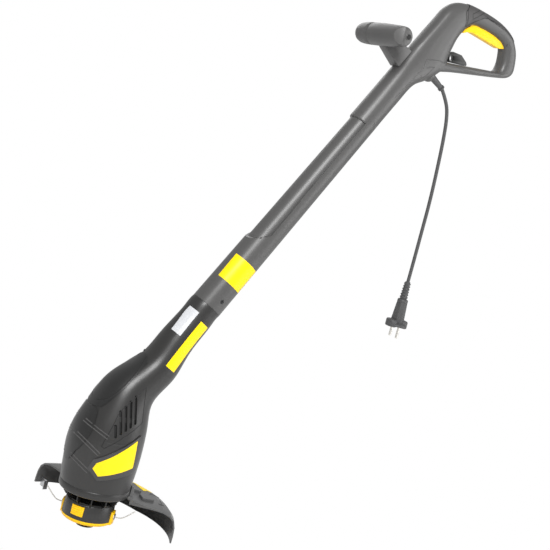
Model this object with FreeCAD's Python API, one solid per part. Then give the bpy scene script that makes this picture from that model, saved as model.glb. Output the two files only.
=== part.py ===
import FreeCAD, Part
import math
import os

# Corded string trimmer.  Sizes are in millimetres.
# Shop frame used while modelling: +Z up the motor spindle, spindle axis at x = y = 0,
# +X towards the user, +Y to the user's right.  Every part is moved at the end so that the
# middle of the rear hand grip is the origin.

V = FreeCAD.Vector

# ---- driving dimensions ------------------------------------------------------------------
wall = 2.6
slip = 0.35
run_fit = 0.05

shaft_lean = 30.0
joint_x = 111.0
joint_z = 323.0
tube_length = 402.0
tube_low_depth = 26.2
tube_low_width = 25.0
tube_top_depth = 23.0
tube_top_width = 21.5
recess_depth = 3.2
recess_start = 128.0
recess_past_joint = 56.0
recess_side = -4.0
spigot_length = 34.0

rim_z = 14.0
rim_radius = 54.5
ring_height = 12.0
housing_widest = 57.5
housing_widest_z = 68.0
housing_waist = 45.0
slot_width = 4.0
slot_count = 5
slot_lean = -0.14

shaft_radius = 4.0
bearing_radius = 11.0
bearing_width = 7.0
core_length = 46.0
core_bottom = 64.0
rotor_radius = 19.0
stator_radius = 34.0
air_gap = 0.8
fan_radius = 44.0
fan_blades = 12
blade_thick = 1.8

head_top_z = -2.0
head_top_radius = 38.0
head_low_radius = 40.0
head_height = 24.5
cap_thick = 6.5
spool_radius = 32.0
spool_hub = 13.0
knob_radius = 17.0
knob_drop = 12.0
bump_travel = 5.0
latch_width = 20.0
latch_height = 15.0
latch_angle = -140.0
eyelet_angle = -38.0
lug_proud = 1.6
eyelet_radius = 4.0

guard_start = -25.0
guard_end = 107.0
guard_radius = 138.0
guard_top_z = 8.0
guard_thick = 2.4
guard_skirt_low = -56.0
guard_skirt_far = -31.0
guard_tilt = 2.2
guard_collar = 7.0

handle_half = 17.0
handle_edge = 4.5
grip_skin = 1.0
trigger_half = 7.0
front_grip_x = 299.0
front_grip_z = 800.0
front_grip_half = 62.0
front_grip_radius = 18.0
screw_head = 3.4
screw_shank = 1.9
screw_length = 22.0

cord_radius = 3.0
line_radius = 0.8
line_reach = 28.5
line_rise = 17.0
plug_top_z = 419.0
plug_flange_z = 344.0
plug_flange_radius = 18.5
pin_radius = 2.4
pin_root_radius = 1.8
pin_root = 12.0
pin_chamfer = 1.2
pin_length = 19.0
pin_spacing = 19.0

relief_length = 38.0
relief_flange = 7.8

# The handle, its grips and the lead are drawn as they lie with the shaft at its design length,
# where the upper joint is at handle_datum.  They move with that joint when the shaft's length changes.
handle_datum = V(312.0, 0.0, 671.142)
grip_centre = V(505.0, 0.0, 870.0)
relief_root = V(408.0, 0.0, 764.0)

# The free lead, from just past the strain relief to the top of the plug.
cord_route = [
    (458.0, 729.0),
    (468.0, 705.0),
    (473.5, 667.0),
    (477.5, 618.0),
    (481.0, 562.0),
    (481.5, 505.0),
    (482.0, 456.0),
    (482.0, plug_top_z),
]

# ---- worked-out values -------------------------------------------------------------------
lean = math.radians(shaft_lean)
head_low_z = head_top_z - head_height
cap_bottom_z = head_low_z - cap_thick
knob_bottom_z = cap_bottom_z - knob_drop
parts = {}


# ---- small tools -------------------------------------------------------------------------
def up_shaft(s, p=0.0, y=0.0):
    """A point s along the shaft from the lower joint, p to its rear side and y to the right."""
    x = joint_x + s * math.sin(lean) + p * math.cos(lean)
    z = joint_z + s * math.cos(lean) - p * math.sin(lean)
    return V(x, y, z)


def handle_shift():
    """How far the upper joint lies from where the handle's drawing has it."""
    return up_shaft(tube_length) - handle_datum


def up_post(a, p=0.0):
    """A point of the handle's drawing, a along the shaft's axis from the upper joint."""
    return up_shaft(tube_length + a, p) - handle_shift()


def post_bar(a_low, a_high, shrink=0.0):
    """The shaft's outline carried on into the handle, in the handle's drawing."""
    bar = shaft_bar(tube_length + a_low, tube_length + a_high, shrink)
    bar.translate(V(0, 0, 0) - handle_shift())
    return bar


def to_shaft(shape):
    """Lays a shape made along +Z at the origin onto the shaft's axis at the lower joint."""
    moved = shape.copy()
    moved.rotate(V(0, 0, 0), V(0, 1, 0), shaft_lean)
    moved.translate(V(joint_x, 0, joint_z))
    return moved


def cylinder(radius, z_low, z_high, x=0.0, y=0.0):
    return Part.makeCylinder(radius, z_high - z_low, V(x, y, z_low))


def ring(outer, inner, z_low, z_high):
    return cylinder(outer, z_low, z_high).cut(cylinder(inner, z_low - 1.0, z_high + 1.0))


def block(x_low, x_high, y_low, y_high, z_low, z_high):
    return Part.makeBox(x_high - x_low, y_high - y_low, z_high - z_low, V(x_low, y_low, z_low))


def turned(shape, degrees):
    moved = shape.copy()
    moved.rotate(V(0, 0, 0), V(0, 0, 1), degrees)
    return moved


def revolved(points, degrees=360.0, start=0.0):
    """Turns an outline of (radius, z) points about the spindle."""
    face = Part.Face(Part.makePolygon([V(r, 0, z) for r, z in points + points[:1]]))
    solid = face.revolve(V(0, 0, 0), V(0, 0, 1), degrees)
    return turned(solid, start)


def rounded_outline(points, radius):
    """A closed wire in the XZ plane with each corner rounded as far as its sides allow."""
    corners = [V(x, 0, z) for x, z in points]
    count = len(corners)
    cuts = []
    for i, corner in enumerate(corners):
        back = corners[i - 1] - corner
        ahead = corners[(i + 1) % count] - corner
        half_turn = (math.pi - back.getAngle(ahead)) / 2
        reach = min(radius * math.tan(half_turn), 0.45 * min(back.Length, ahead.Length))
        bisector = (V(back).normalize() + V(ahead).normalize()).normalize()
        size = reach / math.tan(half_turn)
        middle = corner + bisector * (size / math.cos(half_turn) - size)
        first = corner + V(back).normalize() * reach
        last = corner + V(ahead).normalize() * reach
        cuts.append((first, middle, last))
    edges = []
    for i, (first, middle, last) in enumerate(cuts):
        edges.append(Part.Arc(first, middle, last).toShape())
        edges.append(Part.LineSegment(last, cuts[(i + 1) % count][0]).toShape())
    return Part.Wire(edges)


def slab(wire, half_width):
    """A plate of the outline, centred on the mid plane."""
    face = Part.Face(wire)
    plate = face.extrude(V(0, 2 * half_width, 0))
    plate.translate(V(0, -half_width, 0))
    return plate


def section(x, z, tilt, depth, width, shrink=0.0, squareness=2.0):
    """A smooth oval section: depth is its half size in the mid plane, width its half size in Y."""
    lean_section = math.radians(tilt)
    power = 2.0 / squareness
    loop = []
    for k in range(24):
        t = 2 * math.pi * k / 24
        c = math.copysign(abs(math.cos(t)) ** power, math.cos(t)) * (depth - shrink)
        s = math.copysign(abs(math.sin(t)) ** power, math.sin(t)) * (width - shrink)
        loop.append(V(x + c * math.cos(lean_section), s, z - c * math.sin(lean_section)))
    curve = Part.BSplineCurve()
    curve.interpolate(Points=loop, PeriodicFlag=True)
    return Part.Wire(curve.toShape())


def oval_tube(s_low, s_high, shrink, low, high):
    """A tapered oval bar along the shaft; low and high are (depth, width) at the joints."""
    wires = []
    for s in (s_low, s_high):
        share = s / tube_length
        depth = low[0] + (high[0] - low[0]) * share - shrink
        width = low[1] + (high[1] - low[1]) * share - shrink
        spot = up_shaft(s)
        wires.append(section(spot.x, spot.z, shaft_lean, depth, width))
    return Part.makeLoft(wires, True, True)


def shaft_bar(s_low, s_high, shrink=0.0):
    low = (tube_low_depth, tube_low_width)
    high = (tube_top_depth, tube_top_width)
    return oval_tube(s_low, s_high, shrink, low, high)


def halves(solid):
    """Splits a shell on the mid plane into its left and right mouldings."""
    box = solid.BoundBox
    reach = 5.0
    left = block(box.XMin - reach, box.XMax + reach, box.YMin - reach, 0, box.ZMin - reach, box.ZMax + reach)
    right = block(box.XMin - reach, box.XMax + reach, 0, box.YMax + reach, box.ZMin - reach, box.ZMax + reach)
    return solid.common(left), solid.common(right)


def screw(spot, direction, length, head=screw_head, shank=screw_shank, head_thick=2.2):
    """A countersunk-style screw with a hexagon recess, its head's top at the spot."""
    body = Part.makeCylinder(head, head_thick, spot, direction)
    body = body.fuse(Part.makeCylinder(shank, length, spot, direction))
    recess = Part.makeCylinder(head * 0.45, head_thick * 0.6, spot, direction)
    return body.cut(recess)


def screw_pocket(spot, direction, depth):
    """The countersink and hole for a screw whose head's top is at the spot."""
    start = spot - direction * depth
    pocket = Part.makeCylinder(screw_head + slip, depth + 2.2, start, direction)
    return pocket.fuse(Part.makeCylinder(screw_shank + 0.02, 12.0, spot, direction))


def tube_along(points, radius):
    """A round tube along straight runs joined by tangent arcs, and the arcs' radii."""
    route = [V(*p) for p in points]
    edges = []
    radii = []
    last = route[0]
    for i in range(1, len(route) - 1):
        back = route[i - 1] - route[i]
        ahead = route[i + 1] - route[i]
        half_turn = (math.pi - back.getAngle(ahead)) / 2
        reach = 0.45 * min(back.Length, ahead.Length)
        size = reach / math.tan(half_turn)
        bisector = (V(back).normalize() + V(ahead).normalize()).normalize()
        first = route[i] + V(back).normalize() * reach
        middle = route[i] + bisector * (size / math.cos(half_turn) - size)
        end = route[i] + V(ahead).normalize() * reach
        edges.append(Part.LineSegment(last, first).toShape())
        edges.append(Part.Arc(first, middle, end).toShape())
        radii.append(round(size, 1))
        last = end
    edges.append(Part.LineSegment(last, route[-1]).toShape())
    path = Part.Wire(edges)
    start = Part.Wire(Part.Circle(route[0], route[1] - route[0], radius).toShape())
    tube = path.makePipeShell([start], True, False)
    print("tube radii", radii, "volume over section x length",
          round(tube.Volume / (math.pi * radius ** 2 * path.Length), 4), "length", round(path.Length, 1))
    return tube


def keep(name, shape):
    parts[name] = shape


def keep_on_handle(name, shape):
    """Keeps a piece of the handle's drawing, moved to where the upper joint is."""
    moved = shape.copy()
    moved.translate(handle_shift())
    parts[name] = moved


# ---- motor housing -----------------------------------------------------------------------
def housing_stations():
    """Centre x, centre z, tilt, half depth and half width, from the rim to the shaft joint."""
    knee = up_shaft(-118.0, 4.0)
    neck = up_shaft(-78.0, 1.0)
    throat = up_shaft(-48.0, 0.3)
    mouth = up_shaft(-20.0)
    return [
        (0.0, rim_z + ring_height, 0.0, rim_radius, rim_radius, 2.0),
        (0.0, 44.0, 0.0, housing_widest - 1.2, housing_widest - 1.5, 2.0),
        (0.0, housing_widest_z, 0.0, housing_widest, housing_widest, 2.05),
        (1.5, 104.0, 4.0, housing_widest - 1.5, housing_widest - 2.0, 2.15),
        (9.0, 142.0, 13.0, housing_waist + 3.0, housing_waist + 3.0, 2.2),
        (19.5, 177.0, 23.0, housing_waist - 5.5, housing_waist - 5.5, 2.2),
        (knee.x, knee.z, shaft_lean, tube_low_depth + 5.3, tube_low_width + 7.0, 2.15),
        (neck.x, neck.z, shaft_lean, tube_low_depth + 2.2, tube_low_width + 3.0, 2.05),
        (throat.x, throat.z, shaft_lean, tube_low_depth + 0.9, tube_low_width + 1.2, 2.0),
        (mouth.x, mouth.z, shaft_lean, tube_low_depth + 0.2, tube_low_width + 0.3, 2.0),
        (joint_x, joint_z, shaft_lean, tube_low_depth, tube_low_width, 2.0),
    ]


def housing_body(shrink):
    wires = []
    for x, z, tilt, depth, width, squareness in housing_stations():
        wires.append(section(x, z, tilt, depth, width, shrink, squareness))
    return Part.makeLoft(wires, True, False)


def vent_slots():
    """Slanted cooling slots through each side, rising from front to rear."""
    cuts = []
    for k in range(slot_count):
        low = V(-11.0 + 7.2 * k, 0, 113.0 + 5.6 * k)
        rise = 21.0 + 13.0 * min(k, 1) + 2.5 * k
        lean_x = slot_lean * rise
        half = slot_width / 2
        outline = [(low.x - half, low.z), (low.x + half, low.z + 1.5), (low.x + half + lean_x, low.z + rise),
                   (low.x - half + lean_x, low.z + rise - 1.5)]
        cuts.append(slab(rounded_outline(outline, slot_width * 0.4), housing_widest + 10.0))
    return cuts


def rear_slots():
    """Short level slots across the housing's back, seen as teeth on its outline."""
    cuts = []
    for k in range(5):
        z = 116.0 + 8.5 * k
        cuts.append(block(30.0, 80.0, -26.0, 26.0, z, z + 3.4))
    return cuts


def housing_screw_spots():
    """Where the screws that join the two housings go in, from the right side."""
    low = rim_z + ring_height + 20.0
    aside = stator_radius + 10.0
    rear = up_shaft(-115.0, 19.0)
    front = up_shaft(-114.0, -23.0)
    return [(-aside, low), (aside, low), (rear.x, rear.z), (front.x, front.z)]


def screwed_shell(shell, body, spots, head_y, reach):
    """Adds a screw boss at each spot and cuts the pocket for a screw from the right."""
    screws = []
    for x, z in spots:
        boss = Part.makeCylinder(screw_head + wall, 4 * reach, V(x, -2 * reach, z), V(0, 1, 0))
        shell = shell.fuse(boss.common(body))
    for x, z in spots:
        pocket = Part.makeCylinder(screw_head + slip, 2 * reach, V(x, head_y - 2.2, z), V(0, 1, 0))
        shell = shell.cut(pocket)
        shell = shell.cut(Part.makeCylinder(screw_shank + 0.02, screw_length + 1.0,
                                            V(x, head_y - screw_length - 0.5, z), V(0, 1, 0)))
        screws.append(screw(V(x, head_y, z), V(0, -1, 0), screw_length))
    return shell, screws


def build_housing():
    outer = housing_body(0.0)
    inner = housing_body(wall)
    shell = outer.cut(inner)
    for z in (core_bottom + 4.0, core_bottom + core_length - 7.0):
        shell = shell.fuse(ring(housing_widest - 1.5, stator_radius + 0.02, z, z + wall))
    shell, screws = screwed_shell(shell, housing_body(wall / 2), housing_screw_spots(), 12.0, housing_widest)
    shell = shell.cut(Part.makeCompound(vent_slots() + rear_slots()))
    shell = shell.cut(spigot_bar(-spigot_length, 0.0, slip))
    left, right = halves(shell)
    keep("motor_housing_left", left)
    keep("motor_housing_right", right)
    keep("housing_screws", Part.makeCompound(screws))


def spigot_bar(s_low, s_high, grow):
    """The solid outline of the shaft tube's spigot, which plugs into the housing's neck."""
    return shaft_bar(s_low, s_high, wall + slip - grow)


def build_base_ring():
    """The ring under the housing that carries the lower bearing and the guard."""
    top = rim_z + ring_height
    lip = revolved([(rim_radius - 4.5, rim_z), (rim_radius - 1.5, rim_z), (rim_radius + 0.3, rim_z + 2.0),
                    (rim_radius + 0.3, top - 1.2), (rim_radius - 0.6, top), (rim_radius - 4.5, top)])
    keep("base_ring", lip)


def build_bearing_plate():
    """A ribbed plate in the ring that holds the lower bearing."""
    outer = rim_radius - 4.5 - slip
    plate = cylinder(outer, rim_z + 6.0, rim_z + 9.0)
    hub_top = rim_z + 9.0 + bearing_width
    plate = plate.fuse(cylinder(bearing_radius + 3.0, rim_z + 6.0, hub_top))
    plate = plate.cut(cylinder(bearing_radius, rim_z + 9.0, hub_top + 1))
    plate = plate.cut(cylinder(bearing_radius - 3.0, rim_z, hub_top))
    holes = []
    for k in range(6):
        angle = math.radians(60 * k + 30)
        holes.append(cylinder(7.5, rim_z, hub_top, 32 * math.cos(angle), 32 * math.sin(angle)))
    keep("bearing_plate", plate.cut(Part.makeCompound(holes)))
    low = rim_z + 9.0
    keep("lower_bearing", ring(bearing_radius, shaft_radius + run_fit, low, low + bearing_width))


def build_motor():
    low = core_bottom
    high = low + core_length
    bore = rotor_radius + air_gap
    coil_height = 12.0
    keep("stator_core", ring(stator_radius, bore, low, high))
    coils = []
    for z_low, z_high in ((low - coil_height, low), (high, high + coil_height)):
        coil = ring(stator_radius - 2.0, bore + 1.0, z_low, z_high)
        gap = block(-stator_radius, stator_radius, -6.0, 6.0, z_low - 1, z_high + 1)
        coils.append(coil.cut(gap))
    keep("field_windings", Part.makeCompound(coils))
    keep("rotor_core", ring(rotor_radius, shaft_radius, low, high))
    keep("rotor_windings", Part.makeCompound([
        ring(rotor_radius - 2.5, shaft_radius, low - 9.0, low),
        ring(rotor_radius - 2.5, shaft_radius, high, high + 9.0),
    ]))
    com_low = high + 11.0
    keep("commutator", ring(9.0, shaft_radius, com_low, com_low + 13.0))
    brushes = []
    holders = []
    for side in (-1, 1):
        y_near, y_far = sorted((side * 9.3, side * 19.0))
        brushes.append(block(-3.0, 3.0, y_near, y_far, com_low + 3.0, com_low + 10.0))
        y_near, y_far = sorted((side * 11.0, side * 25.0))
        box = block(-4.6, 4.6, y_near, y_far, com_low + 1.4, com_low + 11.6)
        hollow = block(-3.0, 3.0, y_near - 1, y_far + 1, com_low + 3.0, com_low + 10.0)
        holders.append(box.cut(hollow))
    keep("carbon_brushes", Part.makeCompound(brushes))
    keep("brush_holders", Part.makeCompound(holders))
    top_low = com_low + 16.0
    keep("upper_bearing", ring(bearing_radius - 2.0, shaft_radius + run_fit, top_low, top_low + bearing_width))
    bridge_half = bearing_radius + 1.0
    bridge = block(-bridge_half, bridge_half, -60.0, 60.0, top_low, top_low + bearing_width)
    bridge = bridge.cut(cylinder(bearing_radius - 2.0, top_low - 1, top_low + bearing_width + 1))
    keep("upper_bearing_bracket", bridge.common(housing_body(wall + 0.1)))
    keep("motor_shaft", cylinder(shaft_radius, head_top_z - 3.0, top_low + bearing_width + 1.0))


# ---- cutting head ------------------------------------------------------------------------
def build_fan():
    """The cooling fan above the line head: a cone with upright blades."""
    cone = revolved([(shaft_radius, head_top_z), (36.0, head_top_z), (36.0, head_top_z + 1.6),
                     (17.0, rim_z - 1.2), (shaft_radius, rim_z - 1.2)])
    blades = []
    for k in range(fan_blades):
        blade = block(16.0, fan_radius, -blade_thick / 2, blade_thick / 2, head_top_z + 0.2, rim_z - 1.2)
        blades.append(turned(blade, 360.0 * k / fan_blades + 7.0))
    fan = cone.fuse(blades)
    rim_cut = revolved([(head_top_radius + 0.5, head_top_z - 1), (fan_radius + 2, head_top_z - 1),
                        (fan_radius + 2, head_top_z + 8.0)])
    keep("cooling_fan", fan.cut(rim_cut))


def latch_window(grow):
    half = latch_width / 2 + grow
    low = head_top_z - 3.5 - latch_height
    return block(30.0, 50.0, -half, half, low - grow, low + latch_height + grow)


def eyelet_notch(grow):
    half = 7.5 + grow
    slope = 4.0
    outline = [V(28.0, -half - slope, head_low_z), V(28.0, half + slope, head_low_z),
               V(28.0, half, head_low_z + 15.0 + grow), V(28.0, -half, head_low_z + 15.0 + grow)]
    face = Part.Face(Part.makePolygon(outline + outline[:1]))
    return face.extrude(V(22.0, 0, 0))


def build_spool_housing():
    top = head_top_z
    low = head_low_z
    cup = revolved([(shaft_radius, top), (head_top_radius - 1.0, top), (head_top_radius, top - 1.5),
                    (head_low_radius, low), (head_low_radius - wall, low), (head_top_radius - wall, top - 3.2),
                    (shaft_radius, top - 3.2)])
    for side in (0, 180):
        cup = cup.cut(turned(latch_window(slip), latch_angle + side))
        cup = cup.cut(turned(eyelet_notch(slip), eyelet_angle + side))
    keep("spool_housing", cup)


def build_spool():
    """The bobbin, the line wound on it, the spring above it and the bump knob below it."""
    top = head_top_z - 3.2 - bump_travel - 1.0
    low = head_low_z - 1.7
    flange = 1.8
    bobbin = ring(spool_radius, 6.5, low, low + flange)
    bobbin = bobbin.fuse(ring(spool_radius, 6.5, top - flange, top))
    bobbin = bobbin.fuse(ring(spool_hub, 6.5, low + flange, top - flange))
    keep("spool", bobbin)
    keep("line_winding", ring(spool_radius - 3.0, spool_hub, low + flange, top - flange))
    spring_top = head_top_z - 3.2
    keep("bump_spring", ring(11.5, 9.5, top, spring_top))
    edge = 3.0
    knob = revolved([(0, low), (knob_radius - 2.0, low), (knob_radius - 2.0, cap_bottom_z + 2.0),
                     (knob_radius, cap_bottom_z), (knob_radius, knob_bottom_z + 2 * edge),
                     (knob_radius - 1.2, knob_bottom_z + edge), (knob_radius - edge, knob_bottom_z + 0.8),
                     (knob_radius - 2 * edge, knob_bottom_z), (0, knob_bottom_z)])
    collar = cap_bottom_z + 2.0
    knob = knob.cut(ring(knob_radius + 5, knob_radius - 2.0, collar - 0.01, low + 1))
    keep("bump_knob", knob)


def build_cap():
    """The cap that closes the head from below, with the bracket that holds each eyelet."""
    radius = head_low_radius + 0.4
    low = cap_bottom_z
    top = head_low_z - 0.05
    bore = knob_radius + 0.6
    cap = revolved([(bore, top), (radius, top), (radius, top - 1.6), (radius - 1.0, low + 2.2),
                    (radius - 3.4, low + 0.5), (radius - 6.0, low), (bore, low)])
    inner = head_top_radius - wall - 0.6
    recess = revolved([(0, top + 1), (inner, top + 1), (inner, top - 3.5), (0, top - 3.5)])
    cap = cap.cut(recess)
    lug_radius = head_low_radius + lug_proud
    for side in (0, 180):
        lug = eyelet_notch(0.0).common(ring(lug_radius, head_low_radius - 5.0, low, head_low_z + 15.0))
        foot = block(head_low_radius - 5.0, lug_radius, -11.5, 11.5, low + 2.5, head_low_z)
        foot = foot.common(ring(lug_radius, head_low_radius - 5.0, low, head_low_z))
        lug = lug.fuse(foot)
        hole = Part.makeCylinder(eyelet_radius, 30.0, V(30.0, 0, eyelet_z()), V(1, 0, 0))
        lug = lug.cut(hole)
        cap = cap.fuse(turned(lug, eyelet_angle + side))
    keep("spool_cap", cap.removeSplitter())


def eyelet_z():
    return head_low_z + 7.0


def build_eyelets():
    for name, side in (("line_eyelet_rear", 0), ("line_eyelet_front", 180)):
        seat = head_low_radius + lug_proud + 0.05
        sleeve = Part.makeCylinder(eyelet_radius - 0.05, seat + 5.5 - head_low_radius,
                                   V(head_low_radius - 5.5, 0, eyelet_z()), V(1, 0, 0))
        lip = Part.makeCylinder(eyelet_radius + 1.1, 1.0, V(seat, 0, eyelet_z()), V(1, 0, 0))
        bore = Part.makeCylinder(eyelet_radius - 1.2, 40.0, V(20.0, 0, eyelet_z()), V(1, 0, 0))
        keep(name, turned(sleeve.fuse(lip).cut(bore), eyelet_angle + side))


def build_latches():
    for name, side in (("cap_latch_left", 0), ("cap_latch_right", 180)):
        half = latch_width / 2
        low = head_top_z - 3.5 - latch_height
        share = (head_top_z - low) / head_height
        face_radius = head_top_radius + (head_low_radius - head_top_radius) * share + 0.6
        plate = ring(face_radius, face_radius - 2.6, low, low + latch_height)
        pad = plate.common(block(20, 60, -half, half, low, low + latch_height))
        grooves = []
        for k in range(4):
            z = low + 2.6 + 3.2 * k
            grooves.append(ring(face_radius + 1, face_radius - 0.6, z, z + 1.1))
        pad = pad.cut(Part.makeCompound(grooves))
        keep(name, turned(pad, latch_angle + side))


def line_points(side):
    """Where one free end of the cutting line runs: out of its eyelet, then out and up."""
    start = head_low_radius + 2.5
    z = eyelet_z()
    path = [(start, 0, z), (start + 8.0, 0, z - 0.6), (start + 15.0, 0, z + 3.6),
            (start + 21.5, 0, z + 9.8), (start + line_reach, 0, z + line_rise)]
    angle = math.radians(eyelet_angle + side)
    return [V(x * math.cos(angle), x * math.sin(angle), zz) for x, _, zz in path]


def build_line():
    for name, side in (("line_end_rear", 0), ("line_end_front", 180)):
        keep(name, tube_along(line_points(side), line_radius))


# ---- guard -------------------------------------------------------------------------------
def guard_outline():
    """The guard's section: from its collar out over the top, round the shoulder, down the skirt."""
    r = guard_radius
    top = guard_top_z
    outer = [(rim_radius - 3.5, rim_z - 0.02), (rim_radius + 2.0, rim_z - 0.4), (rim_radius + 12.0, top + 1.5),
             (r * 0.60, top - 1.0), (r * 0.82, top - 3.0), (r * 0.91, top - 7.0), (r * 0.965, top - 14.0),
             (r * 0.99, top - 24.0), (r, top - 38.0), (r, guard_skirt_low - 4.0)]
    inner = []
    for i, (x, z) in enumerate(outer):
        before = outer[max(i - 1, 0)]
        after = outer[min(i + 1, len(outer) - 1)]
        along = V(after[0] - before[0], 0, after[1] - before[1]).normalize()
        inner.append((x + along.z * guard_thick, z - along.x * guard_thick))
    inner[0] = (rim_radius - 3.5, rim_z - 0.02 - guard_thick)
    return outer + inner[::-1]


def build_guard():
    sweep = guard_end - guard_start
    shell = revolved(guard_outline(), sweep, guard_start)
    near = math.radians(guard_start)
    far = math.radians(guard_end)
    r = guard_radius + 20
    middle = (near + far) / 2
    slope = (guard_skirt_far - guard_skirt_low) / (2 * guard_radius * math.sin((far - near) / 2))
    mean = (guard_skirt_far + guard_skirt_low) / 2
    across = V(-math.sin(middle), math.cos(middle), 0)
    along = V(math.cos(middle), math.sin(middle), 0)
    corners = []
    for u, z in ((-r, mean - r * slope), (r, mean + r * slope), (r, -200.0), (-r, -200.0)):
        corners.append(across * u + V(0, 0, z) - along * r)
    under = Part.Face(Part.makePolygon(corners + corners[:1])).extrude(along * (3 * r))
    for angle in (guard_start + 1.2, guard_end - 1.2):
        rib = block(rim_radius + 3.0, guard_radius - 4.0, -1.2, 1.2, guard_top_z - 5.0, guard_top_z + 2.0)
        rib = turned(rib, angle)
        inside = revolved([(rim_radius + 3.0, guard_top_z - 30), (rim_radius + 3.0, guard_top_z + 2.0)]
                          + [(x, z - 1.0) for x, z in guard_outline()[2:9]]
                          + [(guard_radius - 1.0, guard_top_z - 30)], 360.0)
        shell = shell.fuse(rib.common(inside))
    shell.rotate(V(0, 0, 0), along, guard_tilt)
    inner = rim_radius + guard_collar - 3.0
    guard = shell.cut(under).cut(cylinder(inner, guard_top_z - 30, rim_z + 20))
    keep("guard", guard.fuse([guard_rim(), guard_catch()]).removeSplitter())
    blade = block(guard_radius - 22.0, guard_radius - 3.2, -0.6, 0.6, guard_skirt_low + 20.0, guard_skirt_low + 34.0)
    blade = blade.fuse(block(guard_radius - 22.0, guard_radius - 20.8, -0.6, 7.0,
                             guard_skirt_low + 20.0, guard_skirt_low + 34.0))
    keep("line_cutter", turned(blade, guard_end - 4.0).cut(parts["guard"]))
    screws = []
    for angle in (10.0, 41.0, 75.0):
        a = math.radians(angle)
        r_screw = rim_radius - 2.2
        spot = V(r_screw * math.cos(a), r_screw * math.sin(a), rim_z - guard_thick - 0.05)
        head = Part.makeCylinder(2.0, 1.0, spot - V(0, 0, 1.0), V(0, 0, 1))
        screws.append(head)
    keep("guard_screws", Part.makeCompound(screws))


def guard_rim():
    """The level collar of the guard under the base ring; the guard's top slopes away from it."""
    low = rim_z - guard_thick
    outer = rim_radius + guard_collar
    outline = [(rim_radius - 3.5, rim_z - 0.02), (rim_radius + 2.0, rim_z - 0.4), (outer, rim_z - 2.0),
               (outer, low - 4.6), (rim_radius - 0.5, low - 3.2), (rim_radius - 0.5, low), (rim_radius - 3.5, low)]
    return revolved(outline, guard_end - guard_start, guard_start)


def guard_catch():
    """The catch on the guard that hooks up beside the base ring near the guard's left edge."""
    radius = housing_widest - 0.8
    return revolved([(radius, guard_top_z + 2.5), (radius + 6.0, guard_top_z + 2.5), (radius + 4.5, rim_z + 11.0),
                     (radius + 2.8, rim_z + 15.0), (radius, rim_z + 15.0)], 26.0, guard_start + 3.0)


# ---- shaft tube --------------------------------------------------------------------------
def recess_ring(s_low, s_high):
    """The skin that is taken off the front of the shaft, between a step and the front grip."""
    skin = shaft_bar(s_low, s_high, -2.0).cut(shaft_bar(s_low - 1, s_high + 1, recess_depth))
    front = block(-60.0, recess_side, -60, 60, s_low - 10, s_high + 10)
    return skin.common(to_shaft(front))


def build_tube():
    outer = shaft_bar(0.0, tube_length)
    outer = outer.cut(recess_ring(recess_start, tube_length + 5))
    spigot = spigot_bar(-spigot_length + 1, 0.5, 0.0)
    tube = outer.fuse(spigot)
    bore = shaft_bar(-spigot_length - 5, tube_length + 5, 2 * wall + slip + 1.2)
    tube = tube.cut(bore)
    socket = shaft_bar(tube_length - spigot_length, tube_length + 1, wall + recess_depth)
    tube = tube.cut(socket)
    screws = []
    for s, width, length in ((18.0, tube_low_width, 7.0), (tube_length - 10.0, tube_top_width, 6.0)):
        for side in (-1, 1):
            spot = up_shaft(s, 3.5, side * (width - 1.4))
            direction = V(0, -side, 0)
            tube = tube.cut(screw_pocket(spot, direction, 6.0))
            screws.append(screw(spot, direction, length))
    keep("shaft_tube", tube)
    keep("joint_screws", Part.makeCompound(screws))


# ---- rear handle -------------------------------------------------------------------------
def handle_outline():
    """The handle seen from the side: the post in line with the shaft, the top, tail and lower bar."""
    low = up_post(70.0, -tube_top_depth + 1.0)
    high = up_post(204.0, -tube_top_depth + 1.0)
    rear = up_post(70.0, tube_top_depth - 1.0)
    rear_high = up_post(116.0, tube_top_depth + 0.5)
    return [(low.x, low.z), (high.x, high.z), (421, 886), (440, 889.5), (474, 887), (521, 879), (546, 868),
            (565, 850), (571, 836), (575.5, 811), (568, 798), (553, 793), (424, 772.5),
            (rear_high.x, rear_high.z), (rear.x, rear.z)]


def opening_outline():
    """The gap that the hand goes through."""
    return [(431, 809), (436, 824), (453, 853), (463, 859), (476, 860), (512, 855), (540, 844), (543, 809),
            (537, 800), (437, 790)]


def handle_face(offset):
    """The handle's outline without its opening, shrunk by an offset."""
    outer = Part.Face(rounded_outline(handle_outline(), 12.0))
    inner = Part.Face(rounded_outline(opening_outline(), 7.0))
    if offset:
        outer = outer.makeOffset2D(-offset)
        inner = inner.makeOffset2D(offset)
    return outer.cut(inner)


def handle_block(offset, half, edge):
    face = handle_face(offset)
    body = face.extrude(V(0, 2 * half, 0))
    body.translate(V(0, -half, 0))
    if body.ShapeType != "Solid":
        body = body.Solids[0]
    if edge:
        rims = []
        for e in body.Edges:
            box = e.BoundBox
            if abs(box.YMin - box.YMax) < 0.01 and abs(abs(box.YMin) - half) < 0.01:
                rims.append(e)
        body = body.makeFillet(edge, rims)
    return body


def handle_bolt_spots():
    return [(425.0, 868.0), (392.0, 794.0), (559.0, 805.0), (556.0, 846.0)]


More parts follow.
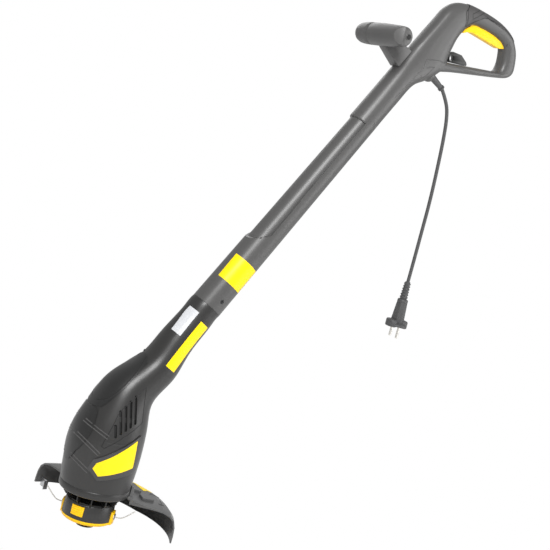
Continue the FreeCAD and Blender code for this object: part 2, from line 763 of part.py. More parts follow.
def build_handle():
    post_top = 150.0
    outer_neck = post_bar(0.0, post_top)
    outer = handle_block(0.0, handle_half, handle_edge)
    body = outer.fuse(outer_neck)
    recess = recess_ring(tube_length - 2, tube_length + recess_past_joint)
    recess.translate(V(0, 0, 0) - handle_shift())
    body = body.cut(recess)
    inner_neck = post_bar(-1.0, post_top - 12.0, wall + recess_depth)
    inner = handle_block(wall, handle_half - wall, 0)
    shell = body.cut(inner).cut(inner_neck)
    slot = slab(rounded_outline([(444, 835), (444, 856), (466, 868), (480, 868), (545, 856), (549, 850),
                                 (549, 835)], 2.0), trigger_half + 0.6)
    shell = shell.cut(slot)
    socket = Part.makeCylinder(relief_flange + 0.4, 30, relief_root, sleeve_axis())
    shell = shell.cut(socket)
    hollow = handle_block(wall / 2, handle_half - wall / 2, 0)
    shell, screws = screwed_shell(shell, hollow, handle_bolt_spots(), handle_half - 3.0, handle_half)
    left, right = halves(shell)
    keep_on_handle("handle_shell_left", left)
    keep_on_handle("handle_shell_right", right)
    keep_on_handle("handle_screws", Part.makeCompound(screws))
    spigot = shaft_bar(tube_length - spigot_length + 2, tube_length + 20.0, wall + recess_depth + slip)
    spigot = spigot.cut(shaft_bar(tube_length - spigot_length, tube_length + 25.0, 2 * wall + recess_depth + slip))
    keep("upper_joint_sleeve", spigot)
    return outer


def build_soft_grip(outer):
    """The soft layer over the top of the grip."""
    big = handle_block(-grip_skin, handle_half + grip_skin, handle_edge + grip_skin)
    skin = big.cut(outer)
    region = slab(rounded_outline([(446, 900), (438, 879), (445, 853), (476, 877.5), (528, 866), (566, 848),
                                   (590, 850), (590, 900)], 1.0), handle_half + 10)
    keep_on_handle("soft_grip", skin.common(region))


def build_trigger():
    """The on switch's lever, hinged at its rear end, and the switch it presses."""
    outline = [(445.5, 841.5), (450.5, 850.5), (459, 857), (463, 864), (474, 864.5), (510, 858.5), (541, 852),
               (546.5, 846), (544, 841), (530, 838.5), (500, 843.5), (467, 848.5), (456, 846.5)]
    lever = slab(rounded_outline(outline, 3.0), trigger_half)
    pin_hole = Part.makeCylinder(2.0 + run_fit, 40, V(trigger_pivot().x, -20, trigger_pivot().z), V(0, 1, 0))
    keep_on_handle("trigger", lever.cut(pin_hole))
    half = handle_half - wall - 0.1
    keep_on_handle("trigger_pin", Part.makeCylinder(2.0, 2 * half, trigger_pivot() - V(0, half, 0), V(0, 1, 0)))
    body = block(490.0, 512.0, -6.0, 6.0, 866.0, 875.5)
    keep_on_handle("switch_body", body.cut(cylinder(1.8 + run_fit, 865.0, 874.0, 503.0)))
    keep_on_handle("switch_plunger", cylinder(1.8, 860.4, 870.5, 503.0))
    spring = cylinder(3.0, 865.0, 880.5, 470.0).cut(cylinder(2.0, 860.0, 890.0, 470.0))
    keep_on_handle("trigger_spring", spring)


def trigger_pivot():
    return V(541.5, 0, 847.0)


def sleeve_axis():
    return V(27.0, 0, -14.0).normalize()


def build_strain_relief():
    """The boss under the handle and the tapered sleeve that the lead leaves through."""
    axis = sleeve_axis()
    thick = 3.0
    wide = cord_radius + 3.2
    boss = Part.makeSphere(relief_flange + 3.7, V(407, 0, 762)).cut(block(380, 450, -30, 30, 764.5, 800))
    boss = boss.cut(Part.makeCylinder(wide + slip, 60, relief_root - axis * 20, axis))
    boss = boss.cut(Part.makeCylinder(relief_flange + slip, thick + 2 * slip, relief_root - axis * slip, axis))
    keep_on_handle("cord_boss", boss.cut(handle_solid()))
    sleeve = Part.makeCone(wide, cord_radius + 1.2, relief_length, relief_root, axis)
    collar = Part.makeCylinder(cord_radius + 2.6, thick, relief_root + axis * (relief_length - thick - 1.0), axis)
    flange = Part.makeCylinder(relief_flange, thick, relief_root, axis)
    bore = Part.makeCylinder(cord_radius, 60.0, relief_root - axis, axis)
    keep_on_handle("strain_relief", sleeve.fuse([collar, flange]).cut(bore))
    near = cord_radius + 0.2
    far = near + 6.8
    keep_on_handle("cord_clamp", Part.makeCompound([
        block(396.0, 404.0, -far, -near, 772.0, 780.0),
        block(396.0, 404.0, near, far, 772.0, 780.0),
    ]))


def handle_solid():
    return handle_block(0.0, handle_half, 0)


def build_cord():
    start = relief_root + sleeve_axis() * relief_length
    route = [start] + [V(x, 0, z) for x, z in cord_route]
    keep_on_handle("power_cord", tube_along(route, cord_radius))


def build_plug():
    """The moulded mains plug, pins down: ribbed relief, body, contoured flange and two pins."""
    x = cord_route[-1][0]
    top = plug_top_z
    low = plug_flange_z
    profile = [(0, top), (cord_radius + 1.4, top), (cord_radius + 2.6, top - 30.0), (9.0, top - 33.0),
               (11.5, low + 16.0), (12.5, low + 5.0), (12.5, low), (0, low)]
    body = revolved(profile)
    flange = cylinder(plug_flange_radius, low - 4.0, low + 4.0)
    for side in (-1, 1):
        notch = cylinder(8.0, low - 5.0, low + 5.0, side * (plug_flange_radius + 4.5))
        flange = flange.cut(notch)
    body = body.fuse(flange)
    for k in range(5):
        z = top - 4.0 - 5.2 * k
        body = body.cut(ring(12.0, cord_radius + 1.0 + 0.15 * k, z - 2.2, z))
    pins = []
    for side in (-1, 1):
        y = side * pin_spacing / 2
        tip_z = low - 4.0 - pin_length
        root_z = low - 4.0
        body = body.cut(cylinder(pin_root_radius, root_z - 1.0, root_z + pin_root, 0, y))
        pin = cylinder(pin_radius, tip_z + pin_chamfer, root_z, 0, y)
        pin = pin.fuse(cylinder(pin_root_radius, root_z, root_z + pin_root, 0, y))
        pin = pin.fuse(Part.makeCone(pin_radius - 0.9, pin_radius, pin_chamfer, V(0, y, tip_z)))
        pins.append(pin)
    place = V(x, 0, 0)
    body.translate(place)
    group = Part.makeCompound(pins)
    group.translate(place)
    keep_on_handle("plug_body", body)
    keep_on_handle("plug_pins", group)


def build_cord_hook():
    """The hook in the hand gap that takes a loop of the extension lead."""
    outline = [(431.8, 791), (432.5, 805), (440, 809.5), (459, 808.5), (472, 800), (476, 794.2)]
    arch = slab(rounded_outline(outline, 3.0), 5.0)
    hole = Part.makeCylinder(5.0, 40, V(441.5, -20, 798.5), V(0, 1, 0))
    keep_on_handle("cord_hook", arch.cut(hole).cut(handle_solid()))


# ---- front grip --------------------------------------------------------------------------
def build_front_grip():
    half = front_grip_half
    r = front_grip_radius
    profile = [(0, -half), (r * 0.72, -half), (r * 0.86, -half + 4.0), (r * 0.93, -half + 20.0), (r, -half + 58.0),
               (r, half - 40.0)]
    near = Part.Face(Part.makePolygon([V(a, 0, b) for a, b in profile + [(0, half - 40.0), (0, -half)]]))
    near = near.revolve(V(0, 0, 0), V(0, 0, 1), 360)
    far_profile = [(0, half - 39.6), (r, half - 39.6), (r * 0.97, half - 18.0), (r * 0.88, half - 7.0),
                   (r * 0.68, half - 1.6), (r * 0.4, half), (0, half)]
    far = Part.Face(Part.makePolygon([V(a, 0, b) for a, b in far_profile + far_profile[:1]]))
    far = far.revolve(V(0, 0, 0), V(0, 0, 1), 360)
    facet = block(-60, 60, -60, 60, 0, 60)
    facet.rotate(V(0, 0, 0), V(0, 1, 0), 180)
    facet.rotate(V(0, 0, 0), V(0, 1, 0), -38)
    facet.translate(V(-r * 0.25, 0, -half + 2.0))
    near = near.cut(facet)
    pocket = Part.makeCylinder(3.6, 34.0, V(0, 0, -half - 1.0), V(0, 0, 1))
    through = Part.makeCylinder(2.02, 2 * half - 12.0, V(0, 0, -half), V(0, 0, 1))
    near = near.cut(pocket).cut(through)
    far = far.cut(through)
    lay = []
    for solid in (near, far):
        moved = solid.copy()
        moved.rotate(V(0, 0, 0), V(1, 0, 0), -90)
        moved.translate(V(front_grip_x, 0, front_grip_z))
        lay.append(moved)
    base = up_post(105.0, -tube_top_depth + recess_depth)
    stem = stem_solid(base)
    barrel = lay[0].cut(stem)
    keep_on_handle("front_grip_barrel", barrel)
    keep_on_handle("front_grip_end", lay[1])
    keep_on_handle("front_grip_stem", stem)
    head_top = V(front_grip_x, -half + 30.3, front_grip_z)
    keep_on_handle("front_grip_screw", screw(head_top, V(0, 1, 0), 2 * half - 46.0, 3.4, 2.0, 2.6))


def stem_solid(base):
    """The flat-sided stem, square to the shaft, with a wider foot."""
    reach = math.hypot(base.x - front_grip_x, base.z - front_grip_z)
    wires = []
    for share, depth, width in ((0.0, 17.0, 12.0), (0.35, 15.0, 10.5), (0.8, 13.0, 9.0)):
        at = reach * share
        pts = [V(-at, -width, -depth), V(-at, width, -depth), V(-at, width, depth), V(-at, -width, depth)]
        wires.append(Part.makePolygon(pts + pts[:1]))
    stem = Part.makeLoft(wires, True, True)
    stem.rotate(V(0, 0, 0), V(0, 1, 0), shaft_lean)
    stem.translate(base)
    neck = post_bar(60.0, 150.0)
    stem = stem.cut(neck).cut(handle_solid())
    seat = Part.makeCylinder(front_grip_radius + 0.02, 60, V(front_grip_x, -30, front_grip_z), V(0, 1, 0))
    return stem.cut(seat)


def build_inner_cable():
    """The lead inside the shaft, from the switch down to the motor."""
    low = up_shaft(-150.0 + spigot_length)
    high = up_shaft(tube_length + 60.0)
    way = high - low
    keep("inner_cable", Part.makeCylinder(cord_radius - 0.4, way.Length, low, way))


def build_front_panel():
    """The smooth panel let into the housing's front spine."""
    skin = housing_body(-1.1).cut(housing_body(-slip))
    outline = [(-75, 100), (-75, 270), (20, 262), (30, 246), (26, 226), (2, 196), (-24, 164), (-33, 152), (-45, 147)]
    housings = [parts["motor_housing_left"], parts["motor_housing_right"]]
    keep("front_panel", skin.common(slab(rounded_outline(outline, 3.0), 80)).cut(housings))
    ribs = [(-90, 40), (-90, 143), (-49, 143), (-36, 150), (-42, 118), (-55, 80), (-60, 48)]
    keep("rib_panel", skin.common(slab(rounded_outline(ribs, 2.0), 80)).cut(housings))


def build_badge():
    """A plain badge plate in a raised frame on each side of the housing."""
    outline = [(28, 114), (27, 72), (-24, 55), (-35, 65), (-32, 75)]
    near = housing_body(-1.6).cut(housing_body(-slip))
    band = slab(rounded_outline(outline, 2.0), 80)
    side = block(-60, 60, -90, 0, 20, 150)
    other = block(-60, 60, 0, 90, 20, 150)
    keep("badge_plate_left", near.common(band).common(side))
    keep("badge_plate_right", near.common(band).common(other))


# ---- run ---------------------------------------------------------------------------------
def build_all():
    build_housing()
    build_base_ring()
    build_bearing_plate()
    build_motor()
    build_fan()
    build_spool_housing()
    build_spool()
    build_cap()
    build_eyelets()
    build_latches()
    build_line()
    build_guard()
    build_tube()
    handle = build_handle()
    build_soft_grip(handle)
    build_trigger()
    build_strain_relief()
    build_cord()
    build_plug()
    build_cord_hook()
    build_front_grip()
    build_inner_cable()
    build_front_panel()
    build_badge()


def export_all():
    os.makedirs("parts", exist_ok=True)
    for name, shape in parts.items():
        moved = shape.copy()
        moved.translate(V(0, 0, 0) - grip_centre - handle_shift())
        if not moved.isValid() or moved.Volume <= 0:
            print("CHECK", name, "valid", moved.isValid(), "volume", moved.Volume)
        moved.exportStep("parts/" + name + ".step")


build_all()
export_all()
print(len(parts), "nodes")
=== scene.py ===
import math

import bmesh
import bpy
from mathutils import Matrix, Vector
from mathutils.bvhtree import BVHTree


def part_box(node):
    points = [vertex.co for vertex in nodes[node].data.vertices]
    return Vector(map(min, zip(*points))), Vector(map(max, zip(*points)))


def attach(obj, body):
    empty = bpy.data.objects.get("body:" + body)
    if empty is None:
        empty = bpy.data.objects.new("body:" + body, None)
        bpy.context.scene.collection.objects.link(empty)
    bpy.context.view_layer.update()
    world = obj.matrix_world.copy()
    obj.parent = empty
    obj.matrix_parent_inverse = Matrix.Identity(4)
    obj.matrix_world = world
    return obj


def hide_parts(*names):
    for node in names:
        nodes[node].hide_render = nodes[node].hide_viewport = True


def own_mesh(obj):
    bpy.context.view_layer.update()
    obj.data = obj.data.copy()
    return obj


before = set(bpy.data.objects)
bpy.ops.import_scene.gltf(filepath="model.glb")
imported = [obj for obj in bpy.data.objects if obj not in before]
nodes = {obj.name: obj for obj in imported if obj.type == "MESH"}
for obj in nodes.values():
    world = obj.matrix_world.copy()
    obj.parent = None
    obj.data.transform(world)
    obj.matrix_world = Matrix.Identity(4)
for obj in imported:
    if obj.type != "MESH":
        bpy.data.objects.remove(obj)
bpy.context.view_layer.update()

# ---- places and sizes --------------------------------------------------------------------
# Places are in millimetres from the motor spindle, at the height where the knob's bottom is -45:
# x to the rear, y to the user's right, z up.  at() turns them into the frame's metres.
MM = 0.001
KNOB_BOTTOM = -45.0
spindle_x = sum(corner.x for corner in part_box("motor_shaft")) / 2
datum_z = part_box("bump_knob")[0].z - KNOB_BOTTOM * MM

LEAN = math.radians(30.0)
JOINT = Vector((111.0, 0.0, 323.0))
CORD_WIDTH = 6.0
LINE_WIDTH = 1.6
EYELET_ANGLE = -38.0
SEAM_STEP = 2.5
SEAM_GAP = 0.12
HANDLE_VOXEL = 1.6
SHELL_WALL = 2.4
UPPER_JOINT = 402.0
PROBE_REACH = 180.0
PLATE_STEPS = 36


def at(x, y, z):
    """A place in the frame's metres from one in millimetres."""
    return Vector((spindle_x + x * MM, y * MM, datum_z + z * MM))


def on_shaft(s, p=0.0, y=0.0):
    """A point s up the shaft from the lower joint, p to its rear side and y to the right."""
    along = Vector((math.sin(LEAN), 0.0, math.cos(LEAN)))
    rear = Vector((math.cos(LEAN), 0.0, -math.sin(LEAN)))
    spot = JOINT + along * s + rear * p
    return at(spot.x, y, spot.z)


def linked(name, data):
    """An object of the data, placed in the scene."""
    piece = bpy.data.objects.new(name, data)
    bpy.context.scene.collection.objects.link(piece)
    return piece


def wire(name, radius, round_steps, spots, kind="POLY"):
    """A round wire through the spots, with its spline."""
    data = bpy.data.curves.new(name, "CURVE")
    data.dimensions = "3D"
    data.bevel_depth = radius
    data.bevel_resolution = round_steps
    data.use_fill_caps = True
    spline = data.splines.new(kind)
    spline.points.add(len(spots) - 1)
    for point, spot in zip(spline.points, spots):
        point.co = (*spot, 1.0)
    return linked(name, data), spline


# ---- camera, floor and lights ------------------------------------------------------------
def make_camera():
    """A long lens below the handle on the left front, looking slightly down, rolled to the right."""
    turn, rise, roll = math.radians(-32.2), math.radians(6.85), math.radians(14.8)
    back = Vector((math.sin(turn) * math.cos(rise), -math.cos(turn) * math.cos(rise), math.sin(rise)))
    level = Vector((math.cos(turn), math.sin(turn), 0.0))
    upward = back.cross(level)
    right = level * math.cos(roll) + upward * math.sin(roll)
    up = upward * math.cos(roll) - level * math.sin(roll)
    data = bpy.data.cameras.new("camera")
    data.lens = 75.3
    data.sensor_width = 36.0
    camera = linked("camera", data)
    turned = Matrix((right, up, back)).transposed().to_4x4()
    turned.translation = at(-750.5, -1539.0, 608.0)
    camera.matrix_world = turned
    bpy.context.scene.camera = camera


def soft_light(name, spot, aim, size, power):
    """A white rectangular lamp at the spot, turned to the aim."""
    data = bpy.data.lights.new(name, "AREA")
    data.shape = "RECTANGLE"
    data.size = size[0]
    data.size_y = size[1]
    data.energy = power
    lamp = linked(name, data)
    lamp.location = spot
    lamp.rotation_euler = (aim - spot).to_track_quat("-Z", "Y").to_euler()


def make_studio():
    """A plain pale floor well below the tool, a bright even surround and three soft lights."""
    middle = at(200.0, 0.0, 430.0)
    bpy.ops.mesh.primitive_plane_add(size=14.0, location=at(200.0, 0.0, -46.0))
    floor = bpy.context.object
    floor.name = "studio_floor"
    paper = bpy.data.materials.new("studio_paper")
    paper.use_nodes = True
    shader = paper.node_tree.nodes["Principled BSDF"]
    shader.inputs["Base Color"].default_value = (0.95, 0.95, 0.95, 1.0)
    shader.inputs["Roughness"].default_value = 0.9
    glow = paper.node_tree.nodes.new("ShaderNodeEmission")
    glow.inputs["Strength"].default_value = 1.0
    path = paper.node_tree.nodes.new("ShaderNodeLightPath")
    lit = paper.node_tree.nodes.new("ShaderNodeMixShader")
    paper.node_tree.links.new(path.outputs["Is Camera Ray"], lit.inputs[0])
    paper.node_tree.links.new(shader.outputs[0], lit.inputs[1])
    paper.node_tree.links.new(glow.outputs[0], lit.inputs[2])
    paper.node_tree.links.new(lit.outputs[0], paper.node_tree.nodes["Material Output"].inputs["Surface"])
    floor.data.materials.append(paper)
    world = bpy.data.worlds.new("studio")
    world.use_nodes = True
    tree = world.node_tree
    seen = tree.nodes["Background"]
    seen.inputs["Strength"].default_value = 1.0
    around = tree.nodes.new("ShaderNodeBackground")
    around.inputs["Color"].default_value = (1.0, 1.0, 1.0, 1.0)
    around.inputs["Strength"].default_value = 0.55
    seen.inputs["Color"].default_value = (1.0, 1.0, 1.0, 1.0)
    path = tree.nodes.new("ShaderNodeLightPath")
    mix = tree.nodes.new("ShaderNodeMixShader")
    tree.links.new(path.outputs["Is Camera Ray"], mix.inputs[0])
    tree.links.new(around.outputs[0], mix.inputs[1])
    tree.links.new(seen.outputs[0], mix.inputs[2])
    tree.links.new(mix.outputs[0], tree.nodes["World Output"].inputs["Surface"])
    bpy.context.scene.world = world
    bpy.context.scene.view_settings.view_transform = "Standard"
    soft_light("key_light", middle + Vector((-0.8, -1.6, 1.3)), middle, (0.7, 0.7), 42.0)
    soft_light("side_light", middle + Vector((1.6, -1.1, 0.4)), middle, (0.9, 1.6), 14.0)
    soft_light("rim_light", middle + Vector((0.4, 1.8, 1.2)), middle, (1.4, 0.8), 7.0)


# ---- cords -------------------------------------------------------------------------------
# The lead's route below its strain relief, (x, z) on the mid plane.
RELIEF_ROOT = Vector((408.0, 0.0, 764.0))
RELIEF_WAY = Vector((27.0, 0.0, -14.0)).normalized()
RELIEF_LENGTH = 38.0
LEAD_ROUTE = [(458.0, 729.0), (468.0, 705.0), (473.5, 667.0), (477.5, 618.0), (481.0, 562.0),
              (481.5, 505.0), (482.0, 456.0), (482.0, 419.0)]
# The free end of the cutting line, (radius, z) from the spindle.
LINE_ROUTE = [(42.5, -19.5), (50.5, -20.1), (57.5, -15.9), (64.0, -9.7), (71.0, -2.5)]


def smooth_cord(name, points, width):
    """A round cord of the width in millimetres on a smooth curve through its points."""
    piece, spline = wire(name, width * MM / 2, 6, points, "NURBS")
    spline.order_u = 3
    spline.use_endpoint_u = True
    spline.resolution_u = 16
    return piece


def make_lead():
    """The supply lead from its strain relief down to the plug."""
    start = RELIEF_ROOT + RELIEF_WAY * RELIEF_LENGTH
    points = [at(*start)] + [at(x, 0.0, z) for x, z in LEAD_ROUTE]
    lead = smooth_cord("supply_lead", points, CORD_WIDTH)
    lead.data.materials.append(finishes["cord_rubber"])
    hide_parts("power_cord")
    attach(lead, "frame")


def make_line_end(name, node, side):
    """A free end of the cutting line at the eyelet a number of degrees round from the first."""
    angle = math.radians(EYELET_ANGLE + side)
    points = [at(r * math.cos(angle), r * math.sin(angle), z) for r, z in LINE_ROUTE]
    line = smooth_cord(name, points, LINE_WIDTH)
    line.data.materials.append(finishes["nylon_line"])
    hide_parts(node)
    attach(line, "spinning_head")


# ---- finishes ----------------------------------------------------------------------------
def group(name, inputs, outputs):
    """An empty shader group with named sockets, its input node and its output node."""
    tree = bpy.data.node_groups.new(name, "ShaderNodeTree")
    for label, kind, value in inputs:
        socket = tree.interface.new_socket(label, in_out="INPUT", socket_type=kind)
        if value is not None:
            socket.default_value = value
    for label, kind in outputs:
        tree.interface.new_socket(label, in_out="OUTPUT", socket_type=kind)
    return tree, tree.nodes.new("NodeGroupInput"), tree.nodes.new("NodeGroupOutput")


def make_grain_group():
    """Spark-eroded mould texture: fine pits over faint larger waves, and slow colour drift."""
    tree, source, result = group("mould_grain",
                                 [("Scale", "NodeSocketFloat", 900.0), ("Depth", "NodeSocketFloat", 0.3),
                                  ("Colour", "NodeSocketColor", None), ("Drift", "NodeSocketFloat", 0.12),
                                  ("Roughness", "NodeSocketFloat", 0.5)],
                                 [("Colour", "NodeSocketColor"), ("Roughness", "NodeSocketFloat"),
                                  ("Normal", "NodeSocketVector")])
    link = tree.links.new
    place = tree.nodes.new("ShaderNodeTexCoord")
    fine = tree.nodes.new("ShaderNodeTexNoise")
    fine.inputs["Detail"].default_value = 3.0
    link(place.outputs["Object"], fine.inputs["Vector"])
    link(source.outputs["Scale"], fine.inputs["Scale"])
    pits = tree.nodes.new("ShaderNodeTexVoronoi")
    link(place.outputs["Object"], pits.inputs["Vector"])
    link(source.outputs["Scale"], pits.inputs["Scale"])
    height = tree.nodes.new("ShaderNodeMath")
    height.operation = "MULTIPLY_ADD"
    height.inputs[1].default_value = 0.6
    link(pits.outputs["Distance"], height.inputs[0])
    link(fine.outputs["Fac"], height.inputs[2])
    bump = tree.nodes.new("ShaderNodeBump")
    bump.inputs["Distance"].default_value = 0.0004
    link(source.outputs["Depth"], bump.inputs["Strength"])
    link(height.outputs[0], bump.inputs["Height"])
    link(bump.outputs["Normal"], result.inputs["Normal"])
    slow = tree.nodes.new("ShaderNodeTexNoise")
    slow.inputs["Scale"].default_value = 22.0
    slow.inputs["Detail"].default_value = 5.0
    link(place.outputs["Object"], slow.inputs["Vector"])
    swing = tree.nodes.new("ShaderNodeMath")
    swing.operation = "SUBTRACT"
    swing.inputs[1].default_value = 0.5
    link(slow.outputs["Fac"], swing.inputs[0])
    amount = tree.nodes.new("ShaderNodeMath")
    amount.operation = "MULTIPLY_ADD"
    amount.inputs[2].default_value = 1.0
    link(swing.outputs[0], amount.inputs[0])
    link(source.outputs["Drift"], amount.inputs[1])
    shade = tree.nodes.new("ShaderNodeVectorMath")
    shade.operation = "SCALE"
    link(source.outputs["Colour"], shade.inputs[0])
    link(amount.outputs[0], shade.inputs["Scale"])
    link(shade.outputs["Vector"], result.inputs["Colour"])
    rough = tree.nodes.new("ShaderNodeMath")
    rough.operation = "MULTIPLY"
    link(source.outputs["Roughness"], rough.inputs[0])
    link(amount.outputs[0], rough.inputs[1])
    link(rough.outputs[0], result.inputs["Roughness"])
    return tree


def make_wear_group():
    """Edges rubbed paler: where the rounded normal leaves the true one, broken up by noise."""
    tree, source, result = group("rubbed_edges",
                                 [("Colour", "NodeSocketColor", None), ("Rubbed", "NodeSocketColor", None),
                                  ("Amount", "NodeSocketFloat", 0.5), ("Radius", "NodeSocketFloat", 0.0008)],
                                 [("Colour", "NodeSocketColor")])
    link = tree.links.new
    rounded = tree.nodes.new("ShaderNodeBevel")
    rounded.samples = 4
    link(source.outputs["Radius"], rounded.inputs["Radius"])
    true = tree.nodes.new("ShaderNodeNewGeometry")
    dot = tree.nodes.new("ShaderNodeVectorMath")
    dot.operation = "DOT_PRODUCT"
    link(rounded.outputs["Normal"], dot.inputs[0])
    link(true.outputs["Normal"], dot.inputs[1])
    edge = tree.nodes.new("ShaderNodeMapRange")
    edge.inputs["From Min"].default_value = 0.98
    edge.inputs["From Max"].default_value = 0.75
    link(dot.outputs["Value"], edge.inputs["Value"])
    place = tree.nodes.new("ShaderNodeTexCoord")
    patches = tree.nodes.new("ShaderNodeTexNoise")
    patches.inputs["Scale"].default_value = 90.0
    patches.inputs["Detail"].default_value = 6.0
    link(place.outputs["Object"], patches.inputs["Vector"])
    broken = tree.nodes.new("ShaderNodeMapRange")
    broken.inputs["From Min"].default_value = 0.4
    broken.inputs["From Max"].default_value = 0.65
    link(patches.outputs["Fac"], broken.inputs["Value"])
    mask = tree.nodes.new("ShaderNodeMath")
    mask.operation = "MULTIPLY"
    link(edge.outputs["Result"], mask.inputs[0])
    link(broken.outputs["Result"], mask.inputs[1])
    strength = tree.nodes.new("ShaderNodeMath")
    strength.operation = "MULTIPLY"
    link(mask.outputs[0], strength.inputs[0])
    link(source.outputs["Amount"], strength.inputs[1])
    mix = tree.nodes.new("ShaderNodeMix")
    mix.data_type = "RGBA"
    link(strength.outputs[0], mix.inputs[0])
    link(source.outputs["Colour"], mix.inputs[6])
    link(source.outputs["Rubbed"], mix.inputs[7])
    link(mix.outputs[2], result.inputs["Colour"])
    return tree


def finish(name, colour, rubbed, roughness, scale, depth, drift=0.12, wear=0.5, metallic=0.0, specular=0.5,
           transmission=0.0):
    """A moulded, plated or rubber surface with grain, drift in its colour and rubbed edges."""
    material = bpy.data.materials.new(name)
    material.use_nodes = True
    tree = material.node_tree
    shader = tree.nodes["Principled BSDF"]
    grain = tree.nodes.new("ShaderNodeGroup")
    grain.node_tree = grain_group
    grain.inputs["Colour"].default_value = (*colour, 1.0)
    grain.inputs["Scale"].default_value = scale
    grain.inputs["Depth"].default_value = depth
    grain.inputs["Drift"].default_value = drift
    grain.inputs["Roughness"].default_value = roughness
    rub = tree.nodes.new("ShaderNodeGroup")
    rub.node_tree = wear_group
    rub.inputs["Rubbed"].default_value = (*rubbed, 1.0)
    rub.inputs["Amount"].default_value = wear
    tree.links.new(grain.outputs["Colour"], rub.inputs["Colour"])
    tree.links.new(rub.outputs["Colour"], shader.inputs["Base Color"])
    tree.links.new(grain.outputs["Roughness"], shader.inputs["Roughness"])
    tree.links.new(grain.outputs["Normal"], shader.inputs["Normal"])
    shader.inputs["Metallic"].default_value = metallic
    shader.inputs["Specular IOR Level"].default_value = specular
    shader.inputs["Transmission Weight"].default_value = transmission
    return material


# Each look's colour, colour where rubbed, roughness, grain scale and depth, then colour drift,
# wear, metallic, specular and transmission where they differ from the usual.
LOOKS = {
    "head_plastic": ((0.022, 0.0215, 0.021), (0.09, 0.09, 0.088), 0.34, 1400, 0.08),
    "shaft_plastic": ((0.074, 0.073, 0.072), (0.14, 0.14, 0.135), 0.36, 1500, 0.10),
    "panel_plastic": ((0.013, 0.013, 0.013), (0.06, 0.06, 0.06), 0.34, 1600, 0.10),
    "grip_rubber": ((0.055, 0.053, 0.053), (0.10, 0.10, 0.10), 0.50, 1800, 0.18),
    "black_plastic": ((0.011, 0.011, 0.0105), (0.04, 0.04, 0.04), 0.36, 1500, 0.12),
    # groove_shade_black is painted shade: a near-black that stands for the shade inside grooves and holes and
    # behind the vent slots.
    "groove_shade_black": ((0.003, 0.003, 0.003), (0.01, 0.01, 0.01), 0.6, 1500, 0.05),
    # bezel_painted_highlight is a painted highlight: a plastic paler than the housing so the raised badge
    # frame reads as lit.
    "bezel_painted_highlight": ((0.040, 0.039, 0.039), (0.12, 0.12, 0.12), 0.30, 1400, 0.06),
    "guard_plastic": ((0.095, 0.095, 0.095), (0.18, 0.18, 0.18), 0.34, 1100, 0.08),
    "yellow_plastic": ((1.0, 0.58, 0.0), (1.0, 0.68, 0.03), 0.38, 1200, 0.10, 0.07, 0.3, 0.0, 0.35),
    "badge_yellow": ((0.97, 0.70, 0.0), (1.0, 0.80, 0.1), 0.36, 1200, 0.06, 0.05, 0.2, 0.0, 0.35),
    "steel": ((0.50, 0.50, 0.51), (0.8, 0.8, 0.8), 0.30, 500, 0.12, 0.15, 0.5, 1.0),
    "dark_steel": ((0.07, 0.07, 0.072), (0.2, 0.2, 0.2), 0.38, 500, 0.12, 0.15, 0.4, 1.0),
    "copper": ((0.72, 0.33, 0.15), (0.9, 0.5, 0.3), 0.35, 260, 0.8, 0.2, 0.3, 1.0),
    "nickel": ((0.80, 0.78, 0.73), (0.95, 0.93, 0.9), 0.16, 400, 0.05, 0.06, 0.3, 1.0),
    "carbon": ((0.03, 0.03, 0.03), (0.1, 0.1, 0.1), 0.7, 900, 0.5),
    "white_plastic": ((0.85, 0.85, 0.83), (0.9, 0.9, 0.9), 0.3, 1200, 0.1, 0.04, 0.2),
    "label_white": ((0.60, 0.61, 0.63), (0.9, 0.9, 0.9), 0.35, 1200, 0.05, 0.04, 0.1),
    "nylon_line": ((0.66, 0.64, 0.60), (0.8, 0.8, 0.78), 0.30, 700, 0.15, 0.08, 0.2, 0.0, 0.5, 0.25),
    "cord_rubber": ((0.058, 0.058, 0.059), (0.08, 0.08, 0.08), 0.50, 1300, 0.25),
}
NODE_FINISHES = {
    "head_plastic": ["motor_housing_left", "motor_housing_right", "base_ring", "bearing_plate",
                     "upper_bearing_bracket"],
    "shaft_plastic": ["shaft_tube", "handle_shell_left", "handle_shell_right", "front_grip_barrel",
                      "front_grip_end", "front_grip_stem", "cord_boss"],
    "panel_plastic": ["front_panel", "rib_panel"],
    "grip_rubber": ["soft_grip"],
    "black_plastic": ["spool_housing", "cooling_fan", "bump_knob", "spool", "cord_hook", "brush_holders",
                      "cord_clamp", "switch_body", "upper_joint_sleeve"],
    "guard_plastic": ["guard"],
    "yellow_plastic": ["spool_cap", "cap_latch_left", "cap_latch_right", "trigger"],
    "badge_yellow": ["badge_plate_left", "badge_plate_right"],
    "dark_steel": ["housing_screws", "joint_screws", "handle_screws", "guard_screws", "front_grip_screw",
                   "trigger_pin"],
    "steel": ["lower_bearing", "upper_bearing", "motor_shaft", "line_cutter", "bump_spring",
              "trigger_spring", "stator_core", "rotor_core"],
    "copper": ["field_windings", "rotor_windings", "commutator"],
    "nickel": ["plug_pins", "line_eyelet_rear", "line_eyelet_front"],
    "carbon": ["carbon_brushes"],
    "white_plastic": ["switch_plunger"],
    "nylon_line": ["line_winding"],
    "cord_rubber": ["plug_body", "strain_relief", "inner_cable"],
}


def dress_nodes():
    """Gives each CAD node the look of its material."""
    for name, members in NODE_FINISHES.items():
        for node in members:
            mesh = nodes[node].data
            mesh.materials.clear()
            mesh.materials.append(finishes[name])


# ---- modelling tools ---------------------------------------------------------------------
def alone(piece):
    """Makes the piece the only one selected, so that operators act on nothing else."""
    bpy.ops.object.select_all(action="DESELECT")
    piece.select_set(True)
    bpy.context.view_layer.objects.active = piece


def open_whole(piece):
    """Opens the piece in edit mode with all of it selected."""
    alone(piece)
    bpy.ops.object.mode_set(mode="EDIT")
    bpy.ops.mesh.select_all(action="SELECT")


def close_mesh():
    """Leaves edit mode."""
    bpy.ops.object.mode_set(mode="OBJECT")


def slice_whole(spot, way, **options):
    """Cuts all of the open mesh at the plane through the spot across the way."""
    bpy.ops.mesh.select_all(action="SELECT")
    bpy.ops.mesh.bisect(plane_co=spot, plane_no=way, **options)


